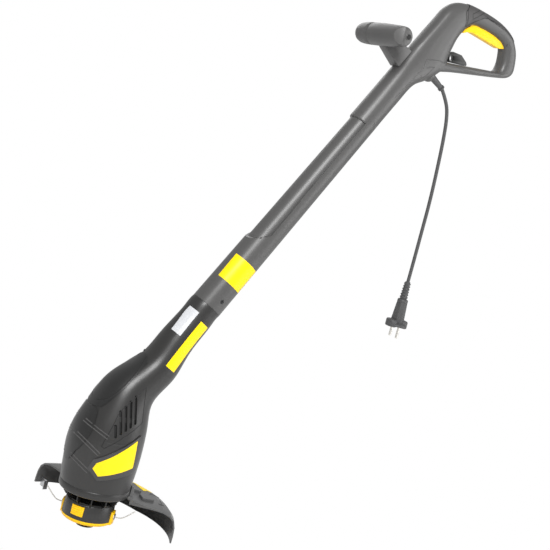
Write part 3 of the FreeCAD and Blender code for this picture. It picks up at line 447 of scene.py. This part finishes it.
def settle_place(piece):
    """Applies the piece's place, turn and scale to its mesh."""
    alone(piece)
    bpy.ops.object.transform_apply(location=True, rotation=True, scale=True)


def add_modifier(piece, kind, **values):
    """Adds a modifier with its values and applies it."""
    alone(piece)
    modifier = piece.modifiers.new(kind.lower(), kind)
    for key, value in values.items():
        setattr(modifier, key, value)
    bpy.ops.object.modifier_apply(modifier=modifier.name)


def bevelled(piece, width, degrees, segments=2, **options):
    """Rounds the edges sharper than the angle over a width in millimetres."""
    add_modifier(piece, "BEVEL", width=width * MM, segments=segments, limit_method="ANGLE",
                 angle_limit=math.radians(degrees), **options)


def give(piece, name, look, body="frame", replaced=(), smooth=35.0):
    """Names a finished piece, gives it its finish and ties it to its body."""
    piece.name = name
    piece.data.name = name
    piece.data.materials.clear()
    piece.data.materials.append(finishes[look])
    alone(piece)
    bpy.ops.object.shade_smooth_by_angle(angle=math.radians(smooth))
    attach(piece, body)
    if replaced:
        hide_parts(*replaced)
    return piece


def joined(pieces):
    """The pieces as one object."""
    bpy.ops.object.select_all(action="DESELECT")
    for piece in pieces:
        piece.select_set(True)
    bpy.context.view_layer.objects.active = pieces[0]
    bpy.ops.object.join()
    return bpy.context.object


def merged_copy(*names):
    """A copy of CAD nodes as one welded mesh with its flat faces made whole."""
    copies = []
    for name in names:
        copy = nodes[name].copy()
        copy.data = nodes[name].data.copy()
        copy.parent = None
        for key in list(copy.keys()):
            del copy[key]
        bpy.context.scene.collection.objects.link(copy)
        copies.append(copy)
    piece = joined(copies) if len(copies) > 1 else copies[0]
    open_whole(piece)
    bpy.ops.mesh.remove_doubles(threshold=0.00002)
    bpy.ops.mesh.dissolve_limited(angle_limit=math.radians(2.0))
    close_mesh()
    return piece


def softened(node, name, look, width, body="frame"):
    """The CAD node with its sharp edges rounded over as the mould leaves them."""
    piece = merged_copy(node)
    bevelled(piece, width, 38.0, use_clamp_overlap=True, harden_normals=False)
    return give(piece, name, look, body, (node,), 45.0)


def skin_of(*names):
    """A search tree of the nodes' surfaces, for laying pieces on them."""
    spots, faces = [], []
    for name in names:
        mesh = (nodes[name] if name in nodes else bpy.data.objects[name]).data
        base = len(spots)
        spots.extend(v.co.copy() for v in mesh.vertices)
        faces.extend([base + i for i in face.vertices] for face in mesh.polygons)
    return BVHTree.FromPolygons(spots, faces)


def seam(name, outline, skin, look, radius, side=-1.0, closed=False, sink=0.3, way="side"):
    """A thin bead or groove line laid on the surface along a polyline of (x, z) points."""
    corners = outline + outline[:1] if closed else outline
    spots = []
    for (xa, za), (xb, zb) in zip(corners, corners[1:]):
        steps = max(2, int(math.hypot(xb - xa, zb - za) / SEAM_STEP))
        for k in range(steps):
            share = k / steps
            spots.append((xa + (xb - xa) * share, za + (zb - za) * share))
    if not closed:
        spots.append(corners[-1])
    hits = []
    for u, v in spots:
        if way == "side":
            hit = skin.ray_cast(at(u, side * 200.0, v), Vector((0.0, -side, 0.0)))
        else:
            hit = skin.ray_cast(at(u, v, 200.0), Vector((0.0, 0.0, -1.0)))
        if hit[0] is not None:
            hits.append(hit[0] - hit[1] * sink * radius * MM)
    piece, spline = wire(name, radius * MM, 2, hits)
    spline.use_cyclic_u = closed
    alone(piece)
    bpy.ops.object.convert(target="MESH")
    return give(bpy.context.object, name, look)


def plate(name, outline, target, look, thick, side, lift, edge, way="side", replaced=()):
    """A thin plate of a convex outline, pressed onto the target's surface."""
    low_u = min(u for u, _ in outline)
    high_u = max(u for u, _ in outline)
    low_v = min(v for _, v in outline)
    high_v = max(v for _, v in outline)
    centre = ((low_u + high_u) / 2, (low_v + high_v) / 2)
    if way == "side":
        spot = at(centre[0], side * PROBE_REACH, centre[1])
        turn = (math.radians(-90.0 * side), 0.0, 0.0)
    else:
        spot = at(centre[0], centre[1], PROBE_REACH)
        turn = (0.0, 0.0, 0.0)
    bpy.ops.mesh.primitive_grid_add(x_subdivisions=PLATE_STEPS, y_subdivisions=PLATE_STEPS, size=1.0,
                                    location=spot, rotation=turn)
    piece = bpy.context.object
    piece.scale = ((high_u - low_u) * MM, (high_v - low_v) * MM, 1.0)
    settle_place(piece)
    bpy.ops.object.mode_set(mode="EDIT")
    count = len(outline)
    for i, (ua, va) in enumerate(outline):
        ub, vb = outline[(i + 1) % count]
        out = Vector((vb - va, ua - ub)).normalized()
        if out.dot(Vector((ua - centre[0], va - centre[1]))) < 0:
            out = -out
        if way == "side":
            where, normal = at(ua, side * PROBE_REACH, va), (out.x, 0.0, out.y)
        else:
            where, normal = at(ua, va, PROBE_REACH), (out.x, out.y, 0.0)
        slice_whole(where, normal, clear_outer=True)
    close_mesh()
    add_modifier(piece, "SHRINKWRAP", target=target, wrap_method="PROJECT", use_project_y=way == "side",
                 use_project_z=way != "side", use_negative_direction=side > 0 or way != "side",
                 use_positive_direction=side < 0 and way == "side", offset=lift * MM)
    add_modifier(piece, "SOLIDIFY", thickness=thick * MM, offset=1.0)
    bevelled(piece, edge, 50.0)
    return give(piece, name, look, "frame", replaced, 50.0)


def stacked(stations, place, sides):
    """A turned piece grown upward from a disc, station by station of (radius, height)."""
    radius, low = stations[0]
    bpy.ops.mesh.primitive_circle_add(vertices=sides, radius=radius * MM, fill_type="NGON",
                                      location=(0.0, 0.0, low * MM))
    piece = bpy.context.object
    bpy.ops.object.mode_set(mode="EDIT")
    bpy.ops.mesh.select_all(action="SELECT")
    last_radius, last = radius, low
    for radius, height in stations[1:]:
        bpy.ops.mesh.extrude_region_move(TRANSFORM_OT_translate={"value": (0.0, 0.0, (height - last) * MM)})
        share = radius / last_radius
        bpy.ops.transform.resize(value=(share, share, 1.0), center_override=(0.0, 0.0, height * MM))
        last_radius, last = radius, height
    bpy.ops.mesh.select_all(action="SELECT")
    bpy.ops.mesh.normals_make_consistent(inside=False)
    bpy.ops.object.mode_set(mode="OBJECT")
    piece.matrix_world = place @ piece.matrix_world
    settle_place(piece)
    return piece


def bar(low, high, edge, place):
    """A block between two corners in millimetres, its edges rounded, then put in its place."""
    middle = (Vector(low) + Vector(high)) / 2 * MM
    bpy.ops.mesh.primitive_cube_add(size=1.0, location=middle)
    piece = bpy.context.object
    piece.scale = (Vector(high) - Vector(low)) * MM
    settle_place(piece)
    add_modifier(piece, "BEVEL", width=edge * MM, segments=2)
    piece.matrix_world = place
    settle_place(piece)
    return piece


# ---- rear handle -------------------------------------------------------------------------
# Sections of the handle from the post, over the top, down the tail and back along the lower bar:
# the outer and the inner point (x, z), the half width and how square the section is.
HANDLE_SECTIONS = [
    ((282.1, 665.2), (321.9, 642.2), 21.6, 2.0), ((292.1, 682.5), (331.9, 659.5), 21.5, 2.0),
    ((316.1, 724.1), (355.9, 701.1), 20.9, 2.05),
    ((336.3, 759.0), (377.0, 735.5), 20.0, 2.2), ((348.5, 780.0), (402.0, 752.0), 19.0, 2.5),
    ((356.5, 794.0), (427.0, 776.0), 18.5, 2.8), ((366.0, 810.0), (432.5, 806.0), 18.1, 3.0),
    ((391.0, 852.0), (439.0, 831.0), 17.8, 2.9), ((403.0, 872.0), (450.0, 849.0), 17.5, 2.7),
    ((421.0, 885.5), (459.0, 857.0), 17.0, 2.5), ((446.0, 889.5), (469.0, 860.0), 16.6, 2.4),
    ((480.0, 886.5), (487.0, 858.6), 16.3, 2.3), ((512.0, 880.8), (511.0, 854.8), 16.0, 2.3),
    ((537.0, 872.0), (530.0, 848.4), 15.8, 2.3), ((556.0, 859.0), (539.0, 841.0), 15.4, 2.4),
    ((568.5, 841.0), (541.5, 831.0), 15.0, 2.5), ((573.5, 822.0), (542.8, 817.0), 14.8, 2.6),
    ((573.5, 806.0), (541.0, 806.5), 14.8, 2.7), ((563.0, 796.0), (536.5, 800.6), 15.0, 2.7),
    ((540.0, 790.8), (521.0, 798.7), 15.0, 2.8), ((490.0, 783.0), (489.0, 795.4), 15.0, 2.8),
    ((448.0, 776.5), (449.0, 791.2), 15.5, 2.8), ((408.0, 768.0), (414.0, 788.5), 16.0, 2.8),
    ((385.0, 764.0), (392.0, 786.0), 16.0, 2.8),
]
SOFT_EDGE = [(430.0, 905.0), (446.0, 892.0), (438.0, 879.0), (445.5, 852.0), (476.0, 879.0), (528.0, 868.0),
             (566.0, 853.0), (600.0, 848.0), (600.0, 905.0)]


def section_ring(outer, inner, half, squareness, count=28):
    """Points round a section between its outer and inner point; squareness 2 is an ellipse."""
    a, b = at(outer[0], 0.0, outer[1]), at(inner[0], 0.0, inner[1])
    middle, reach = (a + b) / 2, (a - b) / 2
    power = 2.0 / squareness
    ring = []
    for k in range(count):
        t = 2 * math.pi * k / count
        c = math.copysign(abs(math.cos(t)) ** power, math.cos(t))
        s = math.copysign(abs(math.sin(t)) ** power, math.sin(t))
        ring.append(middle + reach * c + Vector((0.0, half * MM * s, 0.0)))
    return ring


def blended(a, b, c, d, t):
    """The Catmull-Rom curve between b and c, for one number."""
    return 0.5 * (2 * b + (c - a) * t + (2 * a - 5 * b + 4 * c - d) * t ** 2
                  + (3 * b - a - 3 * c + d) * t ** 3)


def filled_in(sections, steps=5):
    """The sections with smooth steps between each pair."""
    flat = [(*outer, *inner, half, squareness) for outer, inner, half, squareness in sections]
    full = []
    for i in range(len(flat) - 1):
        a, b, c, d = flat[max(i - 1, 0)], flat[i], flat[i + 1], flat[min(i + 2, len(flat) - 1)]
        for k in range(steps):
            full.append([blended(*four, k / steps) for four in zip(a, b, c, d)])
    full.append(flat[-1])
    return [((q[0], q[1]), (q[2], q[3]), q[4], q[5]) for q in full]


def lofted(name, sections):
    """A closed skin through the sections, capped at both ends."""
    rings = [section_ring(*section) for section in filled_in(sections)]
    count = len(rings[0])
    spots = [spot for ring in rings for spot in ring]
    faces = []
    for r in range(len(rings) - 1):
        for k in range(count):
            after = (k + 1) % count
            faces.append((r * count + k, r * count + after, (r + 1) * count + after, (r + 1) * count + k))
    faces.append(tuple(range(count)))
    faces.append(tuple(range(len(spots) - count, len(spots))))
    mesh = bpy.data.meshes.new(name)
    mesh.from_pydata(spots, [], faces)
    piece = linked(name, mesh)
    open_whole(piece)
    bpy.ops.mesh.normals_make_consistent(inside=False)
    close_mesh()
    return piece


def cut_along(piece, outline):
    """Cuts edges into the mesh along a polyline of (x, z) points."""
    alone(piece)
    bpy.ops.object.mode_set(mode="EDIT")
    for (xa, za), (xb, zb) in zip(outline, outline[1:]):
        slice_whole(at(xa, 0.0, za), (zb - za, 0.0, xa - xb))
    close_mesh()


def inside_outline(spot, outline):
    """Whether a point of the frame lies inside an (x, z) outline, seen from the side."""
    x, z = (spot.x - spindle_x) / MM, (spot.z - datum_z) / MM
    hit = False
    for (xa, za), (xb, zb) in zip(outline, outline[1:] + outline[:1]):
        if (za > z) != (zb > z) and x < xa + (xb - xa) * (z - za) / (zb - za):
            hit = not hit
    return hit


def keep_faces(piece, wanted):
    """Deletes every face whose centre isn't wanted."""
    alone(piece)
    bpy.ops.object.mode_set(mode="EDIT")
    bpy.ops.mesh.select_mode(type="FACE")
    bpy.ops.mesh.select_all(action="DESELECT")
    bpy.ops.object.mode_set(mode="OBJECT")
    for face in piece.data.polygons:
        face.select = not wanted(face.center)
    bpy.ops.object.mode_set(mode="EDIT")
    bpy.ops.mesh.delete(type="FACE")
    bpy.ops.object.mode_set(mode="OBJECT")


def copy_of(piece):
    """A copy with a mesh of its own."""
    copy = piece.copy()
    copy.data = piece.data.copy()
    bpy.context.scene.collection.objects.link(copy)
    return copy


def half_of(piece, side):
    """One moulding of the handle: the part of the skin on one side of the mid plane, closed."""
    half = copy_of(piece)
    open_whole(half)
    slice_whole((0.0, side * SEAM_GAP * MM, 0.0), (0.0, side, 0.0), clear_inner=True)
    close_mesh()
    add_modifier(half, "SOLIDIFY", thickness=SHELL_WALL * MM, offset=-1.0)
    bevelled(half, 0.35, 60.0)
    return half


def make_handle():
    """The closed handle: one smooth body, parted on the mid plane, with a soft cover on the grip."""
    body = lofted("handle_body", HANDLE_SECTIONS)
    add_modifier(body, "REMESH", mode="VOXEL", voxel_size=HANDLE_VOXEL * MM)
    add_modifier(body, "SMOOTH", factor=0.5, iterations=5)
    open_whole(body)
    slice_whole(on_shaft(UPPER_JOINT + 0.2), on_shaft(1.0) - on_shaft(0.0), clear_inner=True)
    close_mesh()
    cover = copy_of(body)
    cut_along(cover, SOFT_EDGE)
    keep_faces(cover, lambda spot: inside_outline(spot, SOFT_EDGE))
    add_modifier(cover, "SOLIDIFY", thickness=1.6 * MM, offset=0.2)
    bevelled(cover, 0.5, 60.0)
    give(cover, "grip_cover", "grip_rubber", "frame", ("soft_grip",), 60.0)
    for side, name in ((-1.0, "left"), (1.0, "right")):
        half = half_of(body, side)
        give(half, "handle_moulding_" + name, "shaft_plastic", "frame",
             ("handle_shell_" + name,), 60.0)
    bpy.data.objects.remove(body)


# ---- shaft -------------------------------------------------------------------------------
# (depth, width) of the shaft's half section at its lower and upper joints.
SHAFT_LOW = (26.2, 25.0)
SHAFT_HIGH = (23.0, 21.5)
SHAFT_FLATTEN = 0.945
RECESS_DEPTH = 3.2
LIP_WIDTH = 2.6
# The recess's edges, each a place (s, p) on it and the way (s, p) into the recess.
RECESS_EDGES = [((141.0, -3.4), (0.0, -1.0)), ((141.0, -3.4), (0.743, -0.669)),
                ((148.0, -3.4), (0.52, -0.854))]


def make_shaft():
    """The one-piece shaft moulding: oval, with a bevelled lip round its long front recess."""
    along = (on_shaft(1.0) - on_shaft(0.0)).normalized()
    rear = (on_shaft(0.0, 1.0) - on_shaft(0.0)).normalized()
    place = Matrix.Translation(on_shaft(0.0)) @ Matrix.Rotation(LEAN, 4, "Y")
    place = place @ Matrix.Scale(SHAFT_FLATTEN, 4, (0, 1, 0))
    low, high = SHAFT_LOW[0], SHAFT_HIGH[0]
    stations = [(low - 3.2, -33.0), (low - 3.2, -0.6), (low - 0.5, 0.0), (low, 0.5)]
    stations += [(low + (high - low) * k / 24.0, UPPER_JOINT * k / 24.0 + 0.6) for k in range(1, 25)]
    piece = stacked(stations, place, 128)
    alone(piece)
    bpy.ops.object.mode_set(mode="EDIT")
    for spot, way in ((on_shaft(-32.0), along), (on_shaft(UPPER_JOINT - 0.2), -along)):
        slice_whole(spot, way, clear_inner=True)
    for (s, p), (way_s, way_p) in RECESS_EDGES:
        for step in (0.0, LIP_WIDTH):
            slice_whole(on_shaft(s + way_s * step, p + way_p * step), along * way_s + rear * way_p)
    bpy.ops.mesh.select_all(action="DESELECT")
    bpy.ops.object.mode_set(mode="OBJECT")
    inward = (LIP_WIDTH - 0.05) * MM
    for vertex in piece.data.vertices:
        vertex.select = all((vertex.co - on_shaft(s, p)).dot(along * way_s + rear * way_p) > inward
                            for (s, p), (way_s, way_p) in RECESS_EDGES)
    bpy.ops.object.mode_set(mode="EDIT")
    bpy.ops.transform.shrink_fatten(value=-RECESS_DEPTH * MM)
    bpy.ops.object.mode_set(mode="OBJECT")
    add_modifier(piece, "SOLIDIFY", thickness=2.4 * MM, offset=-1.0)
    for s, width in ((18.0, SHAFT_LOW[1]), (UPPER_JOINT - 10.0, SHAFT_HIGH[1])):
        for side in (-1.0, 1.0):
            bpy.ops.mesh.primitive_cylinder_add(vertices=32, radius=3.7 * MM, depth=7.0 * MM,
                                                location=on_shaft(s, 3.5, side * (width + 0.6)),
                                                rotation=(math.radians(90.0), 0.0, 0.0))
            drill = bpy.context.object
            add_modifier(piece, "BOOLEAN", object=drill, operation="DIFFERENCE", solver="EXACT")
            bpy.data.objects.remove(drill)
    give(piece, "shaft_moulding", "shaft_plastic", "frame", ("shaft_tube",), 40.0)


# ---- front grip --------------------------------------------------------------------------
GRIP_SPOT = (299.0, 0.0, 800.0)
GRIP_HALF = 62.0
GRIP_RADIUS = 18.0
GRIP_CUT_WAY = (-0.62, -0.78, 0.0)


def make_front_grip():
    """The cross grip: a long barrel with a cut-off near end, and a domed end beyond the joint."""
    lay = Matrix.Translation(at(*GRIP_SPOT)) @ Matrix.Rotation(math.radians(-90.0), 4, "X")
    r, half = GRIP_RADIUS, GRIP_HALF
    x, _, z = GRIP_SPOT
    near = stacked([(r * 0.66, -half), (r * 0.76, -half + 0.8), (r * 0.84, -half + 3.0),
                    (r * 0.885, -half + 9.0), (r * 0.93, -half + 22.0), (r * 0.97, -half + 40.0),
                    (r, -half + 60.0), (r, half - 41.0),
                    (r - 0.5, half - 40.4)], lay, 64)
    open_whole(near)
    slice_whole(at(x - 4.0, -half + 0.6, z), GRIP_CUT_WAY, use_fill=True, clear_outer=True)
    close_mesh()
    bevelled(near, 0.9, 24.0, 3)
    give(near, "cross_grip_barrel", "shaft_plastic", "frame",
         ("front_grip_barrel",), 40.0)
    far = stacked([(r - 0.5, half - 39.8), (r, half - 39.2), (r * 0.995, half - 30.0),
                   (r * 0.97, half - 18.0),
                   (r * 0.92, half - 10.0), (r * 0.82, half - 4.5), (r * 0.66, half - 1.4), (r * 0.4, half)],
                  lay, 64)
    give(far, "cross_grip_end", "shaft_plastic", "frame", ("front_grip_end",), 50.0)
    eye = Matrix.Translation(at(x + 5.5, -half - 0.2, z + 1.0)) @ Matrix.Rotation(math.radians(90), 4, "X")
    well = stacked([(5.2, -0.4), (5.2, 0.4), (4.6, 0.8), (4.0, 0.5), (3.8, -2.0)], eye, 32)
    give(well, "grip_screw_collar", "shaft_plastic")
    # A near-black disc down the screw hole: painted shade in the hole.
    hole = stacked([(3.9, 0.0), (3.9, 0.66)], eye, 32)
    give(hole, "grip_screw_well_shade", "groove_shade_black")


# ---- motor housing -----------------------------------------------------------------------
BADGE = [(25.5, 112.5), (27.5, 70.5), (-23.5, 54.0), (-32.5, 64.0), (-29.5, 73.5)]
BADGE_FRAME = [(32.0, 120.0), (37.0, 63.5), (-23.0, 46.5), (-38.5, 62.0), (-34.0, 78.0)]
VENT_PANEL = [(31.0, 139.0), (26.5, 192.5), (-9.5, 152.5), (-28.5, 99.0), (-24.5, 96.5)]
LENS_EDGE = [(-58.0, 156.0), (-44.0, 152.0), (-26.0, 166.0), (-14.0, 180.0), (11.0, 211.0), (27.0, 233.0),
             (28.5, 241.0), (20.0, 252.0), (6.0, 260.0)]
# Each pair's upper rib, front end then rear end.
GRIP_RIBS = [(-47.5, 128.5, -20.0, 115.0), (-54.5, 106.5, -28.0, 87.8), (-59.5, 75.5, -35.5, 58.0)]


def host(name, *names):
    """An unseen merged copy of nodes to press plates onto; removed when they are made."""
    piece = merged_copy(*names)
    piece.name = name
    return piece


def vent_wall(node):
    """The housing's outside round the vents with the slots closed over, to lay a black sheet of painted shade
    behind them.
    """
    low, high = at(-34.0, 0.0, 90.0), at(38.0, 0.0, 200.0)
    mesh = bmesh.new()
    for vertex in nodes[node].data.vertices:
        spot = vertex.co
        if low.x < spot.x < high.x and low.z < spot.z < high.z:
            mesh.verts.new(spot)
    bmesh.ops.convex_hull(mesh, input=mesh.verts)
    data = bpy.data.meshes.new("vent_wall")
    mesh.to_mesh(data)
    mesh.free()
    return linked("vent_wall", data)


def make_housing_trim():
    """Badges in bevelled frames of paler plastic as a painted highlight, near-black lines of painted shade in
    the grooves round the vents and the front cover, a black sheet of painted shade behind the vents, and grip
    ribs painted paler as highlights.
    """
    for side, word in ((-1.0, "left"), (1.0, "right")):
        node = "motor_housing_" + word
        skin = skin_of(node, "front_panel", "rib_panel")
        body = host("press_" + word, node)
        wall = vent_wall(node)
        # A near-black sheet set inside behind the vent slots: painted shade where the housing's inside shows
        # through.
        plate("vent_shade_sheet_" + word, VENT_PANEL, wall, "groove_shade_black", 0.5, side, -4.2, 0.1)
        bpy.data.objects.remove(wall)
        plate("badge_bezel_" + word, BADGE_FRAME, body, "bezel_painted_highlight", 2.4, side,
              0.0, 1.9)
        plate("badge_" + word, BADGE, body, "badge_yellow", 2.8, side, 0.0, 0.4,
              replaced=("badge_plate_" + word,))
        # The groove lines are near-black beads: painted shade in the grooves round the vents and the front
        # cover.
        seam("vent_line_" + word, VENT_PANEL, skin, "groove_shade_black", 0.9, side, True, 0.6)
        seam("cover_line_" + word, LENS_EDGE, skin, "groove_shade_black", 1.1, side, False, 0.6)
        # The grip ribs take the paler shaft plastic on the dark rib panel: a painted highlight, so the raised
        # ribs read as lit lines.
        for k, (x_front, z_front, x_rear, z_rear) in enumerate(GRIP_RIBS):
            for step in (0.0, 1.0):
                seam(f"grip_rib_{word}_{k}_{int(step)}",
                     [(x_front - 2.0 * step, z_front - 4.2 * step),
                      (x_rear - 2.0 * step, z_rear - 4.2 * step)],
                     skin, "shaft_plastic", 0.8, side, False, 0.1)
        bpy.data.objects.remove(body)


def shaft_patch(s_low, s_high, p_low, p_high):
    """A label's four corners (x, z), between two places along the shaft and across it."""
    corners = [(s_low, p_low), (s_high, p_low), (s_high, p_high), (s_low, p_high)]
    along = (math.sin(LEAN), math.cos(LEAN))
    rear = (math.cos(LEAN), -math.sin(LEAN))
    return [(JOINT.x + along[0] * s + rear[0] * p, JOINT.z + along[1] * s + rear[1] * p) for s, p in corners]


def make_labels():
    """Plain printed labels: a pale and a yellow one on the neck, a yellow one on the shaft."""
    neck = host("press_neck", "motor_housing_left")
    plate("neck_label_yellow", shaft_patch(-112.0, -26.0, -3.0, 16.0), neck, "badge_yellow",
          0.22, -1.0, 0.0, 0.08)
    plate("neck_label_white", shaft_patch(-64.0, -18.0, -25.5, -13.5), neck, "label_white",
          0.22, -1.0, 0.0, 0.08)
    bpy.data.objects.remove(neck)
    tube = host("press_tube", "shaft_tube")
    plate("shaft_label", shaft_patch(46.0, 90.0, -24.0, 19.0), tube, "badge_yellow",
          0.22, -1.0, 0.0, 0.08)
    bpy.data.objects.remove(tube)


# ---- plug --------------------------------------------------------------------------------
PLUG_X = 482.0
FLANGE_LOW = 340.0


def make_plug():
    """The moulded plug: slotted relief, stepped collar, tapered body and a flange with two ears."""
    place = Matrix.Translation(at(PLUG_X, 0.0, 0.0))
    body = [stacked([(11.2, 347.0), (11.8, 348.0), (11.0, 358.0), (10.0, 372.0), (9.4, 381.0), (8.9, 383.5)],
                    place, 8),
            stacked([(9.2, 383.0), (9.2, 387.0), (8.0, 389.0), (5.0, 390.0)], place, 24),
            stacked([(6.0, 388.0), (4.7, 419.0), (3.6, 420.0)], place, 24),
            stacked([(15.0, 341.0), (16.8, 341.6), (17.2, 343.0), (16.6, 345.0), (13.0, 347.0), (9.0, 349.0)],
                    place, 48)]
    for k in range(6):
        z = 391.4 + 4.7 * k
        wide = 7.0 - 0.22 * k
        body.append(stacked([(wide - 0.6, z), (wide, z + 0.5), (wide, z + 2.1), (wide - 0.6, z + 2.6)],
                            place, 24))
        side = 1.0 if k % 2 else -1.0
        body.append(bar((PLUG_X - 2.4, side * (wide - 2.4) - 1.6, z + 1.0),
                        (PLUG_X + 2.4, side * (wide - 2.4) + 1.6, z + 6.2 if k < 5 else z + 2.4), 0.4,
                        Matrix.Translation(at(0.0, 0.0, 0.0))))
    for side in (-1.0, 1.0):
        ear = Matrix.Translation(at(PLUG_X + side * 11.5, 0.0, FLANGE_LOW)) @ Matrix.Scale(1.35, 4, (0, 1, 0))
        body.append(stacked([(7.6, -0.6), (8.4, 0.4), (8.4, 10.2), (7.6, 11.8), (5.0, 12.6)], ear, 40))
    piece = joined(body)
    bevelled(piece, 0.45, 35.0)
    give(piece, "plug_moulding", "cord_rubber", "frame", ("plug_body",), 40.0)
    return piece


def coil(name, node, thick, turns, body):
    """A round-wire compression spring of the node's outer size, with closed ends."""
    low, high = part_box(node)
    centre = (low + high) / 2
    radius = (high.x - low.x) / 2 - thick * MM / 2
    steps = int(turns * 24)
    spots = []
    for k in range(steps + 1):
        share = k / steps
        rise = min(1.0, max(0.0, (share * turns - 0.9) / (turns - 1.8)))
        angle = 2 * math.pi * turns * share
        z = low.z + thick * MM / 2 + (high.z - low.z - thick * MM) * rise
        spots.append((centre.x + radius * math.cos(angle), centre.y + radius * math.sin(angle), z))
    piece, _ = wire(name, thick * MM / 2, 3, spots)
    alone(piece)
    bpy.ops.object.convert(target="MESH")
    return give(bpy.context.object, name, "steel", body, (node,), 60.0)


def make_springs():
    """The bump and trigger springs, as round-wire coils the size of their parts."""
    spring = coil("feed_spring", "bump_spring", 1.2, 4.5, "spinning_head")
    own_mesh(spring)
    spring = coil("lever_spring", "trigger_spring", 0.7, 8.0, "frame")
    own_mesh(spring)


# ---- handle lines, guard trim and softened mouldings -------------------------------------
CHEVRON_OUTER = [(443.6, 889.0), (435.5, 875.0), (442.5, 852.5), (457.9, 864.6), (475.7, 876.2),
                 (485.0, 877.0), (517.1, 873.4), (540.7, 865.4), (560.8, 852.5)]
CHEVRON_INNER = [(470.3, 890.0), (448.8, 875.3), (452.2, 867.5), (473.5, 884.0), (490.9, 883.2),
                 (511.5, 878.7)]
LOWER_RIDGE = [(382.1, 783.0), (408.1, 787.1), (434.4, 785.5), (469.1, 785.9), (504.2, 787.2), (536.9, 794.0),
               (556.0, 803.5)]
TUBE_RIDGE = [(382.1, 783.0), (381.1, 770.2), (364.2, 744.4), (340.8, 710.5)]
BOSS_RIDGE = [(386.6, 770.0), (401.5, 775.0), (391.5, 759.5), (382.5, 751.0), (379.0, 756.0)]
GUARD_LABEL = [(104.0, 84.0), (126.0, 37.0), (101.0, 29.0), (96.0, 68.0)]
GUARD_BOSSES = [[(74.0, 44.0), (91.0, 32.0), (89.0, 14.0), (74.0, 20.0)],
                [(80.0, 2.0), (100.0, -2.0), (99.0, -16.0), (79.0, -14.0)]]
GUARD_LINE = [(109.0, 21.0), (132.0, 16.0)]
GUARD_ARROW = [(117.0, -1.0), (116.0, -12.0), (111.0, -22.0)]
GUARD_ARROW_TIP = [(107.0, -18.0), (111.0, -22.0), (116.0, -19.5)]


def make_handle_lines():
    """Parting lines of the soft cover as near-black beads, painted shade in their grooves, and moulded ridges
    on both sides of the handle.
    """
    skin = skin_of("handle_moulding_left", "handle_moulding_right", "grip_cover")
    for side, word in ((-1.0, "left"), (1.0, "right")):
        for name, line, look, radius, sink in (("chevron_outer", CHEVRON_OUTER, "groove_shade_black", 0.8, 0.6),
                                               ("chevron_inner", CHEVRON_INNER, "groove_shade_black", 0.75, 0.6),
                                               ("lower_ridge", LOWER_RIDGE, "shaft_plastic", 0.8, 0.25),
                                               ("tube_ridge", TUBE_RIDGE, "shaft_plastic", 0.8, 0.25),
                                               ("boss_ridge", BOSS_RIDGE, "shaft_plastic", 0.7, 0.25)):
            seam(f"{name}_{word}", line, skin, look, radius, side, False, sink)


def make_guard_trim():
    """The guard's bosses, plain label, and its moulded line and turning arrow on its upper face drawn in
    black as painted shade of the moulding.
    """
    skin = skin_of("guard")
    top = host("press_guard", "guard")
    for k, outline in enumerate(GUARD_BOSSES):
        plate(f"guard_boss_{k}", outline, top, "guard_plastic", 4.6, 1.0, -0.4, 2.0,
              "top")
    plate("guard_label", GUARD_LABEL, top, "badge_yellow", 0.22, 1.0, 0.0, 0.08, "top")
    bpy.data.objects.remove(top)
    # The moulded line and arrow are drawn as black beads on the grey guard: painted shade of their relief.
    for name, line in (("guard_line", GUARD_LINE), ("guard_arrow", GUARD_ARROW),
                       ("guard_arrow_tip", GUARD_ARROW_TIP)):
        seam(name, line, skin, "black_plastic", 0.7, 1.0, False, 0.2, "top")


def make_softened():
    """The mouldings whose shape stays as designed, with rounded edges."""
    for node, name, look, slot, width, body in (
            ("trigger", "trigger_moulding", "yellow_plastic", "yellow_plastic", 0.9, "trigger_lever"),
            ("spool_cap", "cap_moulding", "yellow_plastic", "yellow_plastic", 0.45, "spinning_head"),
            ("cap_latch_left", "latch_left_moulding", "yellow_plastic", "yellow_plastic", 0.25, "latch_left"),
            ("cap_latch_right", "latch_right_moulding", "yellow_plastic", "yellow_plastic", 0.25,
             "latch_right"),
            ("spool_housing", "hub_moulding", "head_plastic", "black_plastic", 0.4, "spinning_head"),
            ("bump_knob", "knob_moulding", "black_plastic", "black_plastic", 0.8, "bump_spool"),
            ("cord_hook", "hook_moulding", "black_plastic", "black_plastic", 0.7, "frame"),
            ("front_grip_stem", "stem_moulding", "shaft_plastic", "charcoal_plastic", 0.8, "frame"),
            ("base_ring", "base_ring_moulding", "head_plastic", "charcoal_plastic", 0.4, "frame"),
            ("guard", "guard_moulding", "guard_plastic", "charcoal_plastic", 0.5, "frame")):
        softened(node, name, look, width, body)


# ---- making ------------------------------------------------------------------------------
bpy.ops.object.select_all(action="DESELECT")
make_camera()
grain_group = make_grain_group()
wear_group = make_wear_group()
finishes = {name: finish(name, *look) for name, look in LOOKS.items()}
plug = make_plug()
make_lead()
make_line_end("line_tail_rear", "line_end_rear", 0.0)
make_line_end("line_tail_front", "line_end_front", 180.0)
dress_nodes()
make_handle()
make_front_grip()
make_housing_trim()
make_labels()
make_shaft()
make_springs()
make_handle_lines()
make_guard_trim()
make_softened()
make_studio()
